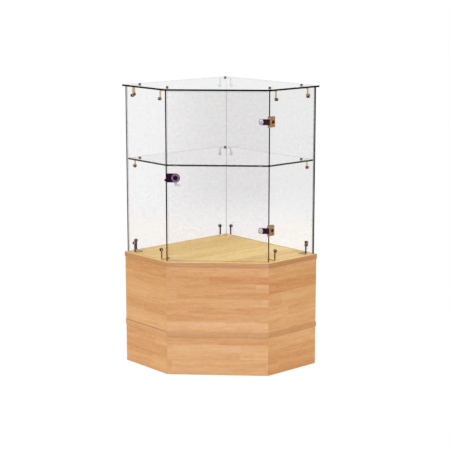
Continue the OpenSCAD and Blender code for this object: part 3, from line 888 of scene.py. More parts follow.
def ring_profile(
    inner: float, outer: float, low: float, high: float, edge: float
) -> list[tuple[float, float]]:
    """Closed profile of a flat ring whose four corners are rounded.

    Args:
        inner: radius of the bore.
        outer: outer radius.
        low: height of the lower face.
        high: height of the upper face.
        edge: radius of the corners.

    Returns:
        Radius and height of each point.
    """
    return [
        *arc((inner + edge, low + edge), edge, 180.0, 270.0, 2),
        *arc((outer - edge, low + edge), edge, 270.0, 360.0, 2),
        *arc((outer - edge, high - edge), edge, 0.0, 90.0, 2),
        *arc((inner + edge, high - edge), edge, 90.0, 180.0, 2),
    ]


def rounded_rectangle(width: float, height: float, edge: float) -> np.ndarray:
    """Outline of a rectangle round the origin with rounded corners, anticlockwise.

    Args:
        width: its size along the first axis.
        height: its size along the second axis.
        edge: radius of its corners.

    Returns:
        Its points, two numbers each.
    """
    a, b = width / 2.0 - edge, height / 2.0 - edge
    corners = [((a, -b), 270.0), ((a, b), 0.0), ((-a, b), 90.0), ((-a, -b), 180.0)]
    return np.array([p for centre, start in corners for p in arc(centre, edge, start, start + 90.0, 3)])


def bent_strip(path: np.ndarray, width: float, thickness: float, edge: float) -> Shape:
    """Carries a strip's section along a path in the XZ plane.

    At each path point the section's thickness lies along the path's normal and its width along Y: the point
    is the path's place, plus the thickness share times the normal, plus the width share times Y.

    Args:
        path: X and Z of each path point.
        width: the strip's width.
        thickness: the strip's thickness.
        edge: radius of the strip's long edges.

    Returns:
        A closed shape with flat ends.
    """
    way = np.gradient(path, axis=0)
    way /= np.linalg.norm(way, axis=1, keepdims=True)
    normal = np.stack([way[:, 1], -way[:, 0]], axis=-1)
    section = rounded_rectangle(thickness, width, edge)
    x = path[:, 0, None] + normal[:, 0, None] * section[None, :, 0]
    z = path[:, 1, None] + normal[:, 1, None] * section[None, :, 0]
    y = np.broadcast_to(section[None, :, 1], x.shape)
    points = np.stack([x, y, z], axis=-1).reshape(-1, 3)
    around = len(section)
    faces = band_faces(len(path), around)[:, ::-1].tolist()
    first = list(range(around))
    last = [len(points) - around + i for i in reversed(range(around))]
    return Shape(points, faces + [first, last])


# Meshes


def mesh_values(
    items: bpy.types.bpy_prop_collection, name: str, width: int = 1, kind: type = float
) -> np.ndarray:
    """Reads one property of every vertex, face corner or face of a mesh.

    Args:
        items: the mesh's vertices, loops or polygons.
        name: the property's name.
        width: how many numbers the property has.
        kind: the type of the numbers.

    Returns:
        The numbers, in a row per item where the property has more than one.
    """
    values = np.empty(len(items) * width, kind)
    items.foreach_get(name, values)
    return values.reshape(-1, width) if width > 1 else values


def set_face_materials(mesh: bpy.types.Mesh, numbers: np.ndarray) -> None:
    """Gives each face of a mesh the material with its number."""
    mesh.polygons.foreach_set("material_index", numbers.astype(np.int32))


def face_arrays(mesh: bpy.types.Mesh) -> tuple[np.ndarray, np.ndarray, np.ndarray]:
    """Reads what face-by-face work needs from a mesh.

    Args:
        mesh: the mesh.

    Returns:
        The place of each face corner, the normal of each face, and the number of corners of each face.
    """
    corners = mesh_values(mesh.vertices, "co", 3)[mesh_values(mesh.loops, "vertex_index", kind=int)]
    totals = mesh_values(mesh.polygons, "loop_total", kind=int)
    return corners, mesh_values(mesh.polygons, "normal", 3), totals


def lay_grain(mesh: bpy.types.Mesh, level_way: tuple[float, float], start: tuple[float, float]) -> None:
    """Gives a mesh a UV map in metres that follows the grain.

    On an upright face U is the distance along the face's level direction, and V the height. On a level face
    U is the distance along level_way, and V the distance across it.

    Args:
        mesh: the mesh.
        level_way: direction of the grain on level faces, in plan.
        start: what is added to U and V.
    """
    corners, normals, totals = face_arrays(mesh)
    n = np.repeat(normals, totals, axis=0)
    upright = np.abs(n[:, 2]) < LEVEL_FACE
    along_face = -n[:, 1] * corners[:, 0] + n[:, 0] * corners[:, 1]
    way = np.array(level_way) / np.linalg.norm(level_way)
    along_level = corners[:, 0] * way[0] + corners[:, 1] * way[1]
    across_level = -corners[:, 0] * way[1] + corners[:, 1] * way[0]
    u = np.where(upright, along_face, along_level) + start[0]
    v = np.where(upright, corners[:, 2], across_level) + start[1]
    layer = mesh.uv_layers.new(name="grain")
    layer.data.foreach_set("uv", np.column_stack([u, v]).ravel())


def draw_faces_in(mesh: bpy.types.Mesh, amount: float) -> None:
    """Moves each point so that the flat faces round it all move inwards by one amount.

    The move m solves n.m = -amount for the normals n of the faces at the point, in the least squares sense.
    It is never longer than MOST_MOVE amounts.

    Args:
        mesh: the mesh to change.
        amount: the distance.
    """
    points = mesh_values(mesh.vertices, "co", 3)
    point = mesh_values(mesh.loops, "vertex_index", kind=int)
    totals = mesh_values(mesh.polygons, "loop_total", kind=int)
    n = np.repeat(mesh_values(mesh.polygons, "normal", 3), totals, axis=0)
    square = np.zeros((len(points), 3, 3))
    np.add.at(square, point, n[:, :, None] * n[:, None, :])
    side = np.zeros((len(points), 3))
    np.add.at(side, point, n)
    move = np.einsum("nij,nj->ni", np.linalg.pinv(square, rcond=1e-4), side)
    length = np.linalg.norm(move, axis=1, keepdims=True)
    move *= np.minimum(1.0, MOST_MOVE / np.maximum(length, 1e-9))
    mesh.vertices.foreach_set("co", (points - amount * move).ravel())


def cut_arrises(mesh: bpy.types.Mesh, width_mm: float) -> None:
    """Cuts a flat arris along every sharp edge of a mesh, as faces of their own.

    Args:
        mesh: the mesh.
        width_mm: how far from the edge each cut starts.
    """
    work = bmesh.new()
    work.from_mesh(mesh)
    sharp = [edge for edge in work.edges if edge.calc_face_angle(0.0) > SHARP_ANGLE]
    bmesh.ops.bevel(
        work, geom=sharp, offset=width_mm * MM, offset_type="OFFSET", segments=1, profile=0.5,
        affect="EDGES", clamp_overlap=True,
    )
    work.to_mesh(mesh)
    work.free()


# Pieces


@dataclass
class Workshop:
    """Makes finished pieces and reports them."""

    frame: dict[str, Any]

    def piece(
        self,
        name: str,
        shape: Shape,
        materials: Sequence[bpy.types.Material],
        body: Body,
        slot: Slot,
        *nodes: str,
    ) -> bpy.types.Object:
        """Makes a piece from a shape.

        Args:
            name: the piece's name.
            shape: its surface, in the frame's place.
            materials: its materials; all faces get the first.
            body: what it rides on.
            slot: the record's slot that it stands for, passed on to finish.
            nodes: the CAD nodes that it stands for.

        Returns:
            The new object.
        """
        mesh = bpy.data.meshes.new(name)
        mesh.from_pydata(shape.points.tolist(), [], shape.faces)
        mesh.validate()
        return self.finish(name, mesh, materials, body, slot, *nodes)

    def finish(
        self,
        name: str,
        mesh: bpy.types.Mesh,
        materials: Sequence[bpy.types.Material],
        body: Body,
        slot: Slot,
        *nodes: str,
    ) -> bpy.types.Object:
        """Puts a mesh in the scene as a finished piece.

        Args:
            name: the piece's name.
            mesh: its mesh.
            materials: its materials.
            body: what it rides on.
            slot: the record's slot that it stands for; not used.
            nodes: the CAD nodes that it stands for.

        Returns:
            The new object.
        """
        mesh.materials.clear()
        for material in materials:
            mesh.materials.append(material)
        mesh.polygons.foreach_set("use_smooth", np.ones(len(mesh.polygons), bool))
        mesh.set_sharp_from_angle(angle=SHARP_ANGLE)
        piece = bpy.data.objects.new(name, mesh)
        bpy.context.scene.collection.objects.link(piece)
        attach(piece, body.value)
        if nodes:
            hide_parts(*nodes)
        LOG.info("piece %s: %d faces on %s", name, len(mesh.polygons), body.value)
        return piece

    def cad_copy(self, node: str, draw_in: float = HAIR) -> bpy.types.Mesh:
        """Copies a CAD node's mesh, merges its loose triangles into flat faces, and draws it in by a hair.

        The hairline keeps faces that touch in the frame from lying in one plane.

        Args:
            node: the CAD node.
            draw_in: how far each face moves inwards.

        Returns:
            The copied mesh.
        """
        mesh = self.frame["nodes"][node].data.copy()
        work = bmesh.new()
        work.from_mesh(mesh)
        bmesh.ops.remove_doubles(work, verts=work.verts, dist=SAME_POINT)
        bmesh.ops.dissolve_limit(
            work, angle_limit=FLAT_ANGLE, verts=work.verts, edges=work.edges, use_dissolve_boundaries=False
        )
        work.to_mesh(mesh)
        work.free()
        if "custom_normal" in mesh.attributes:
            mesh.attributes.remove(mesh.attributes["custom_normal"])
        draw_faces_in(mesh, draw_in)
        return mesh

    @staticmethod
    def round_edges(
        piece: bpy.types.Object, width_mm: float, segments: int = 2, material: int = -1
    ) -> None:
        """Rounds a piece's sharp edges.

        Args:
            piece: the piece.
            width_mm: how wide the rounding is.
            segments: how many spans it has.
            material: the material of the rounding, or -1 for that of its neighbours.
        """
        bevel = piece.modifiers.new("arris", "BEVEL")
        bevel.width = width_mm * MM
        bevel.segments = segments
        bevel.limit_method = "ANGLE"
        bevel.angle_limit = SHARP_ANGLE
        bevel.material = material
        bevel.use_clamp_overlap = True
        bevel.harden_normals = True


# Sub-assemblies


@dataclass
class WoodenBase:
    """The beech-faced base: two boards with lippings, five box panels and five plinth panels."""

    shop: Workshop
    finishes: Finishes
    arris_mm: float = 0.5
    board_arris_mm: float = 0.15
    lipping_arris_mm: float = 0.9
    board_way: tuple[float, float] = (-1.0, -1.0)

    def build(self) -> None:
        """Dresses every wooden piece."""
        self.dress_panels()
        self.dress_boards()
        self.dress_hidden()

    def dress_panels(self) -> None:
        """Gives the panels their planks, each from its own part of the printed sheet."""
        own_beech = {"front_panel": self.finishes.front_beech, "plinth_front": self.finishes.plinth_beech}
        starts = {
            "front_panel": (0.0, 5.991),
            "left_panel": (1.7, 7.081),
            "right_panel": (3.1, 1.147),
            "back_left_panel": (5.3, 0.03),
            "back_right_panel": (7.9, 0.0),
            "plinth_front": (9.2, 7.072),
            "plinth_left": (11.4, 8.775),
            "plinth_right": (13.8, 7.070),
            "plinth_back_left": (15.1, 0.03),
            "plinth_back_right": (17.6, 0.01),
        }
        for node, start in starts.items():
            beech = own_beech.get(node, self.finishes.side_beech)
            self.dress(node, beech, Slot.PANEL, start, self.arris_mm)

    def dress_boards(self) -> None:
        """Gives the two boards their faces and their lippings."""
        beech = self.finishes.board_beech
        self.dress("top_board", beech, Slot.BOARD, (0.4, 0.02), self.board_arris_mm)
        self.dress("floor_board", beech, Slot.BOARD, (1.4, 0.02), self.board_arris_mm)
        self.dress_lipping("top_board", (2.0, 0.0), (0, 1, 2))
        self.dress_lipping("floor_board", (3.0, 0.0), (0,))

    def dress_lipping(self, board: str, start: tuple[float, float], marked: Sequence[int]) -> None:
        """Dresses one board's lippings.

        A strip's upper arris shows a painted highlight as a pale line on the top board, and a painted shadow
        as a dark line on the floor board, where the panel above leaves a shadow gap on it. Each strip has
        its own tone, with painted shade on the right strips.

        Args:
            board: the board's node.
            start: where on the printed sheet the strips are cut from.
            marked: which of the left, front and right strip have the painted line along their upper arris.
        """
        node = board + "_lipping"
        mesh = self.shop.cad_copy(node)
        cut_arrises(mesh, self.lipping_arris_mm)
        lay_grain(mesh, self.board_way, start)
        across = mesh_values(mesh.polygons, "center", 3)[:, 0]
        half_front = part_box("plinth_front")[1].x
        strip = np.where(across < -half_front, 0, np.where(across > half_front, 2, 1))
        rising = face_arrays(mesh)[1][:, 2] > 0.3
        # The upper arris of the named strips takes the last material: painted highlight on the top board,
        # painted shadow on the floor board.
        lined = rising & np.isin(strip, marked)
        materials = self.finishes.lippings[board]
        self.shop.finish(node + "_dressed", mesh, materials, Body.CABINET, Slot.EDGE, node)
        set_face_materials(mesh, np.where(lined, len(materials) - 1, strip))

    def dress(
        self, node: str, beech: bpy.types.Material, slot: Slot, start: tuple[float, float], arris_mm: float
    ) -> None:
        """Dresses one wooden piece.

        Args:
            node: its CAD node.
            beech: its material.
            slot: its slot in the record.
            start: where on the printed sheet it is cut from.
            arris_mm: how wide its edges' rounding is.
        """
        mesh = self.shop.cad_copy(node)
        lay_grain(mesh, self.board_way, start)
        piece = self.shop.finish(node + "_dressed", mesh, [beech], Body.CABINET, slot, node)
        self.shop.round_edges(piece, arris_mm)

    def dress_hidden(self) -> None:
        """Gives the hidden blocks and dowels their pine."""
        for node in ("corner_blocks", "carcass_dowels"):
            mesh = self.shop.frame["nodes"][node].data
            mesh.materials.clear()
            mesh.materials.append(self.finishes.pine)


@dataclass
class GlassSheets:
    """The seven sheets of float glass, with drilled holes and polished edges."""

    shop: Workshop
    finishes: Finishes
    arris_mm: float = 0.3

    def build(self) -> None:
        """Makes every sheet."""
        f = self.finishes
        # Front and side edges, then rear edges: painted light behind most sheets, dimmer under the shelf,
        # painted shade behind the right pane; the back-left sheet's ends are a paler grey with painted
        # light, and the side panes' ends carry a painted reflection of the board low down.
        edges = {
            "glass_top": (f.dark_edge, f.painted_backlit_edge),
            "glass_back_right": (f.dark_edge, f.painted_backlit_edge),
            "glass_shelf": (f.dark_edge, f.painted_dim_edge),
            "glass_back_left": (f.painted_grey_edge, f.painted_backlit_edge),
            "glass_left": (f.board_reflection_edge, f.painted_backlit_edge),
            "glass_right": (f.board_reflection_edge, f.shaded_edge),
        }
        for node, (end, rear) in edges.items():
            self.sheet(node, Body.CABINET, f.glass, end, rear)
        self.sheet("glass_door", Body.DOOR, f.door_glass, f.dark_edge, f.painted_backlit_edge)

    def sheet(
        self,
        node: str,
        body: Body,
        face: bpy.types.Material,
        end: bpy.types.Material,
        rear: bpy.types.Material,
    ) -> None:
        """Makes one sheet: its faces are glass, and its edges are dark, with painted light on those that
        face back and a painted reflection of the wood on those below.

        Args:
            node: its CAD node.
            body: what it rides on.
            face: the material of its faces.
            end: the material of its front and side edges.
            rear: the material of its edges that face back, with painted light.
        """
        mesh = self.shop.cad_copy(node)
        normals = mesh_values(mesh.polygons, "normal", 3)
        flat = normals[int(np.argmax(mesh_values(mesh.polygons, "area")))]
        is_face = np.abs(normals @ flat) > 0.95
        is_rear = normals[:, 1] > 0.1
        is_foot = normals[:, 2] < -0.5
        number = np.where(is_face, 0, np.where(is_foot, 3, np.where(is_rear, 2, 1)))
        # Glass faces, end edges, rear edges with painted light, and bottom edges with a painted reflection
        # of the wood.
        four = [face, end, rear, self.finishes.wood_lit_edge]
        piece = self.shop.finish(node + "_polished", mesh, four, body, Slot.GLASS, node)
        set_face_materials(mesh, number)
        self.shop.round_edges(piece, self.arris_mm, segments=1, material=1)


def flipped() -> Matrix:
    """Matrix that turns a shape upside down by mirroring it in the level plane."""
    return Matrix.Scale(-1.0, 4, (0.0, 0.0, 1.0))


class Leg(Enum):
    """Which way a connector's leg runs from its hub, in degrees in the corner's frame."""

    BACK_LEFT = -90.0
    BACK_RIGHT = 180.0
    SIDE = 0.0


@dataclass
class Level:
    """One height of the case that holds connectors.

    The matrix carries a connector's frame there, gap is the thickness of the washer at each hub, and leg is
    the distance from the level sheet or board to the legs' discs.
    """

    name: str
    matrix: Matrix
    gap: float
    leg: float
    corners: tuple[str, ...]

    def ways(self, corner: str, both: list[Leg]) -> list[Leg]:
        """Legs at one corner: the shelf's side connectors have only the one to the back wall."""
        return both[:1] if self.name == "shelf" and corner != "back" else both


@dataclass
class Connectors:
    """Bent brass connectors, with their screws and washers.

    A connector's own frame has its hub at the origin, the level glass above z = 0, and a leg along +X. The
    case's plan and levels are read from the frame. A leg's length runs from its level sheet or board to its
    disc's centre. A hub's centre is hub_in from the outer face of the glass beside it, and front_hub_in from
    a side pane's front end.
    """

    shop: Workshop
    finishes: Finishes
    strip_w: float = 6.0 * MM
    strip_t: float = 2.5 * MM
    strip_edge_r: float = 0.5 * MM
    disc_r: float = 6.25 * MM
    disc_edge_r: float = 0.55 * MM
    washer_r: float = 5.75 * MM
    washer_t: float = 1.0 * MM
    washer_edge_r: float = 0.25 * MM
    hub_in: float = 36.0 * MM
    front_hub_in: float = 36.0 * MM
    top_leg: float = 30.0 * MM
    shelf_leg: float = 26.0 * MM
    base_leg: float = 36.0 * MM
    bend_r: float = 4.5 * MM
    bore_r: float = 2.55 * MM
    bore_wall: float = 1.0 * MM
    screw_r: float = 2.5 * MM
    screw_chamfer: float = 0.3 * MM
    cap_r: float = 5.0 * MM
    cap_h: float = 3.5 * MM
    cap_edge: float = 0.15 * MM
    cap_edge_h: float = 0.2 * MM
    collar_h: float = 0.7 * MM
    collar_step: float = 0.6 * MM
    crown_r: float = 2.5 * MM
    wood_screw_r: float = 2.0 * MM
    wood_screw_l: float = 15.0 * MM
    wood_tip_r: float = 0.4 * MM
    wood_taper_l: float = 4.0 * MM
    wood_head_r: float = 4.0 * MM
    wood_head_h: float = 2.2 * MM
    wood_head_edge: float = 0.2 * MM
    socket_r: float = 1.7 * MM
    socket_h: float = 1.2 * MM

    def __post_init__(self) -> None:
        """Reads the case's plan and levels from the frame."""
        wall_low, wall_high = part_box("glass_back_left")
        self.wall_l = -wall_low.x * ROOT2
        self.corner_y = wall_high.y
        door_low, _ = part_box("glass_door")
        self.side_l = (self.corner_y - door_low.y) * ROOT2 - self.wall_l
        top_low, top_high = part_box("glass_top")
        shelf_low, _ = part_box("glass_shelf")
        self.glass_t = top_high.z - top_low.z
        self.top_z, self.shelf_z, self.base_z = top_low.z, shelf_low.z, wall_low.z
        self.reach = self.hub_in - self.glass_t

    def in_corner(self) -> Matrix:
        """Matrix of the corner's frame: X runs down the back-left wall and Y down the back-right one."""
        return Matrix.Translation((0.0, self.corner_y, 0.0)) @ Matrix.Rotation(math.radians(-135.0), 4, "Z")

    def hub(self, place: str) -> tuple[Matrix, list[Leg]]:
        """Place and legs of the connector at one corner.

        Args:
            place: back, left, right, front_left or front_right.

        Returns:
            The matrix from the connector's frame at z = 0 to the row frame, and its legs.
        """
        spots = {
            "back": ((self.hub_in, self.hub_in), [Leg.BACK_LEFT, Leg.BACK_RIGHT]),
            "left": ((self.wall_l - self.hub_in, self.hub_in), [Leg.BACK_LEFT, Leg.SIDE]),
            "front_left": ((self.wall_l - self.hub_in, self.side_l - self.front_hub_in), [Leg.SIDE]),
        }
        (x, y), legs = spots[place.replace("right", "left")]
        matrix = self.in_corner() @ Matrix.Translation((x, y, 0.0))
        if place.endswith("right"):
            matrix = Matrix.Scale(-1.0, 4, (1.0, 0.0, 0.0)) @ matrix
        return matrix, legs

    def leg_disc(self, leg: float) -> Matrix:
        """Matrix from a disc's frame, whose Z runs out through the pane, to the leg's frame."""
        return Matrix.Translation((self.reach, 0.0, -leg)) @ Matrix.Rotation(math.radians(90.0), 4, "Y")

    def disc(self, low: float) -> Shape:
        """Flat disc with rounded rims and a bore.

        Args:
            low: height of its lower face.

        Returns:
            The shape.
        """
        return turned(ring_profile(self.bore_r, self.disc_r, low, low + self.strip_t, self.disc_edge_r))

    def bent_leg(self, leg: float, gap: float) -> Shape:
        """Strip from the hub out under the level glass, bent down along the pane, with the disc at its end.

        Args:
            leg: distance from the level glass down to the disc.
            gap: distance from the level glass down to the strip.

        Returns:
            The shape, in the leg's frame.
        """
        half = self.strip_t / 2.0
        x = self.reach - self.washer_t - half
        z = -gap - half
        bend = arc((x - self.bend_r, z - self.bend_r), self.bend_r, 90.0, 0.0, 8)
        clear = self.bore_r + self.bore_wall
        path = np.array([(clear, z), *bend, (x, -leg + clear)])
        strip = bent_strip(path, self.strip_w, self.strip_t, self.strip_edge_r)
        return strip.plus(self.disc(-self.washer_t - self.strip_t).moved(self.leg_disc(leg)))

    def connector(self, ways: Sequence[Leg], leg: float, gap: float) -> Shape:
        """A whole connector in its own frame.

        Args:
            ways: the ways that its legs run.
            leg: the legs' length.
            gap: distance from the level glass or board to the hub.

        Returns:
            The shape.
        """
        turns = [Matrix.Rotation(math.radians(way.value), 4, "Z") for way in ways]
        legs = [self.bent_leg(leg, gap).moved(turn) for turn in turns]
        return joined([self.disc(-gap - self.strip_t), *legs])

    def levels(self) -> list[Level]:
        """The three levels that hold connectors.

        Returns:
            The top glass, the shelf and the base, each with its matrix, washer gap, leg length and corners.
        """
        corners = ("back", "left", "right", "front_left", "front_right")
        upside_down = Matrix.Translation((0.0, 0.0, self.base_z)) @ flipped()
        at_top = Matrix.Translation((0.0, 0.0, self.top_z))
        at_shelf = Matrix.Translation((0.0, 0.0, self.shelf_z))
        return [
            Level("top", at_top, self.washer_t, self.top_leg, corners),
            Level("shelf", at_shelf, self.washer_t, self.shelf_leg, corners[:3]),
            Level("base", upside_down, 0.0, self.base_leg, corners),
        ]

    def cap_screw(self) -> Shape:
        """Screw through one sheet of glass, with a domed cap on a thin collar.

        Returns:
            The shape, with the glass's inner face at z = 0.
        """
        inner = -self.washer_t - self.strip_t
        seat = self.glass_t + self.washer_t
        shoulder = seat + self.collar_h
        dome_r = self.cap_r - self.collar_step
        rise = self.cap_h - self.collar_h
        quarter = arc((0.0, 0.0), 1.0, 0.0, 90.0, 8)
        dome = [(x * dome_r, shoulder + z * rise) for x, z in quarter[:-1]]
        profile = [
            (0.0, inner),
            (self.screw_r - self.screw_chamfer, inner),
            (self.screw_r, inner + self.screw_chamfer),
            (self.screw_r, seat),
            (self.cap_r - self.cap_edge, seat),
            (self.cap_r, seat + self.cap_edge_h),
            (self.cap_r - self.cap_edge, shoulder),
            *dome,
            (0.0, seat + self.cap_h),
        ]
        return turned(profile)

    def washers(self) -> Shape:
        """The two washers of one screw, on the glass's inner face at z = 0 and on its outer face."""
        rings = [
            ring_profile(self.bore_r, self.washer_r, z, z + self.washer_t, self.washer_edge_r)
            for z in (-self.washer_t, self.glass_t)
        ]
        return joined(turned(ring, 32) for ring in rings)

    def wood_screw(self) -> Shape:
        """Wood screw whose head stands up from the hub at z = 0, with a six-sided socket."""
        slope = arc((0.0, 0.0), 1.0, 12.0, 62.0, 5)
        head = [(x * self.wood_head_r, z * self.wood_head_h) for x, z in slope]
        top = head[-1][1]
        shank = [
            (0.0, -self.wood_screw_l),
            (self.wood_tip_r, -self.wood_screw_l + self.wood_tip_r / 2.0),
            (self.wood_screw_r, -self.wood_screw_l + self.wood_taper_l),
            (self.wood_screw_r, 0.0),
            (self.wood_head_r - self.wood_head_edge, 0.0),
        ]
        socket = [(self.socket_r, top), (self.socket_r, top - self.socket_h), (0.0, top - self.socket_h)]
        profile = shank + head + socket
        count = len(profile)
        return turned(profile, 48, six_sided=(count - 3, count - 2))

    def metals(self, level: Level, corner: str) -> tuple[list[bpy.types.Material], Slot]:
        """Materials and slot of one connector.

        On the base it is brass painted dark as painted shade: its legs olive at the front corners, near
        black at the sides and dark red at the back, with dark discs, and its foot lying on the board a
        lighter brass as painted light, palest at the back. Above, it is brass with discs painted dark as a
        painted dark reflection; at the back it is brass painted pale grey under the top glass and darker
        grey under the shelf, as painted light and shade.

        Args:
            level: its level.
            corner: its corner.

        Returns:
            The materials of its legs, of its legs' discs and of its foot, and the slot.
        """
        f = self.finishes
        if level.name != "base" and corner == "back":
            return [f.brass_painted_pale if level.name == "top" else f.brass_painted_grey] * 3, Slot.BRASS
        if level.name != "base":
            return [f.brass, f.disc_painted_dark, f.brass], Slot.BRASS
        if corner == "back":
            return [f.bronze, f.painted_black_bronze, f.foot_painted_pale], Slot.BRONZE
        leg = f.painted_olive_bronze if corner.startswith("front") else f.painted_black_bronze
        return [leg, f.bronze, f.foot_brass_painted_lit], Slot.BRONZE

    def cap_parts(self) -> np.ndarray:
        """Numbers of a cap screw's faces: 0 on the crown of its dome, a painted highlight, and 1 on its rim
        and below, painted dark as painted shade.
        """
        screw = self.cap_screw()
        middles = np.array([screw.points[face].mean(axis=0) for face in screw.faces])
        on_crown = (np.hypot(middles[:, 0], middles[:, 1]) < self.crown_r) & (middles[:, 2] > self.glass_t)
        return np.where(on_crown, 0, 1)

    def build(self) -> None:
        """Makes the connectors, screws and washers."""
        leg_spots, hub_spots, wood_spots = [], [], []
        for level in self.levels():
            for corner in level.corners:
                hub_matrix, both = self.hub(corner)
                ways = level.ways(corner, both)
                place = level.matrix @ hub_matrix
                self.bent_piece(level, corner, ways, place)
                turns = [Matrix.Rotation(math.radians(way.value), 4, "Z") for way in ways]
                leg_spots += [place @ turn @ self.leg_disc(level.leg) for turn in turns]
                if level.gap > 0.0:
                    hub_spots.append(place)
                else:
                    wood_spots.append(place @ Matrix.Translation((0.0, 0.0, -self.strip_t)) @ flipped())
        self.screw_pieces(leg_spots, hub_spots, wood_spots)

    def screw_pieces(
        self, leg_spots: Sequence[Matrix], hub_spots: Sequence[Matrix], wood_spots: Sequence[Matrix]
    ) -> None:
        """Makes the cap screws, their washers and the wood screws.

        Args:
            leg_spots: where the cap screws of the legs sit.
            hub_spots: where the cap screws of the hubs sit.
            wood_spots: where the wood screws sit.
        """
        f = self.finishes
        legs = joined(self.cap_screw().moved(spot) for spot in leg_spots)
        hubs = joined(self.cap_screw().moved(spot) for spot in hub_spots)
        # Leg caps: bright crown as a painted highlight, dark rim as painted shade; hub caps painted dark as
        # a painted dark reflection.
        metals = [f.cap, f.cap_painted_dark_rim, f.cap_painted_dark]
        caps = self.shop.piece(
            "connector_cap_screws", legs.plus(hubs), metals, Body.CABINET, Slot.BRONZE, "connector_screws"
        )
        numbers = np.concatenate([np.tile(self.cap_parts(), len(leg_spots)), np.full(len(hubs.faces), 2)])
        set_face_materials(caps.data, numbers)
        washers = joined(self.washers().moved(spot) for spot in [*leg_spots, *hub_spots])
        self.shop.piece(
            "connector_clear_washers", washers, [f.plastic], Body.CABINET, Slot.PLASTIC, "connector_washers"
        )
        wood_screws = joined(self.wood_screw().moved(spot) for spot in wood_spots)
        self.shop.piece(
            "connector_wood_screws", wood_screws, [f.steel], Body.CABINET, Slot.STEEL, "board_screws"
        )

    def bent_piece(self, level: Level, corner: str, ways: Sequence[Leg], place: Matrix) -> None:
        """Makes one connector.

        Args:
            level: its level.
            corner: its corner.
            ways: the ways that its legs run.
            place: the matrix that carries it there.
        """
        node = f"{level.name}_connector_{corner}"
        shape = self.connector(ways, level.leg, level.gap).moved(place)
        metals, slot = self.metals(level, corner)
        piece = self.shop.piece(node + "_bent", shape, metals, Body.CABINET, slot, node)
        height = mesh_values(piece.data.polygons, "center", 3)[:, 2]
        # The foot lying on the board takes the third material; on the base it is a lighter brass as painted
        # light.
        on_foot = height < self.base_z + self.strip_t + self.bend_r / 3.0
        disc_faces = len(self.disc(0.0).faces)
        strip_faces = (len(shape.faces) - disc_faces) // len(ways) - disc_faces
        on_disc = np.tile(np.repeat([0, 1], [strip_faces, disc_faces]), len(ways))
        part = np.concatenate([np.zeros(disc_faces, int), on_disc])
        set_face_materials(piece.data, np.where(on_foot, 2, part))


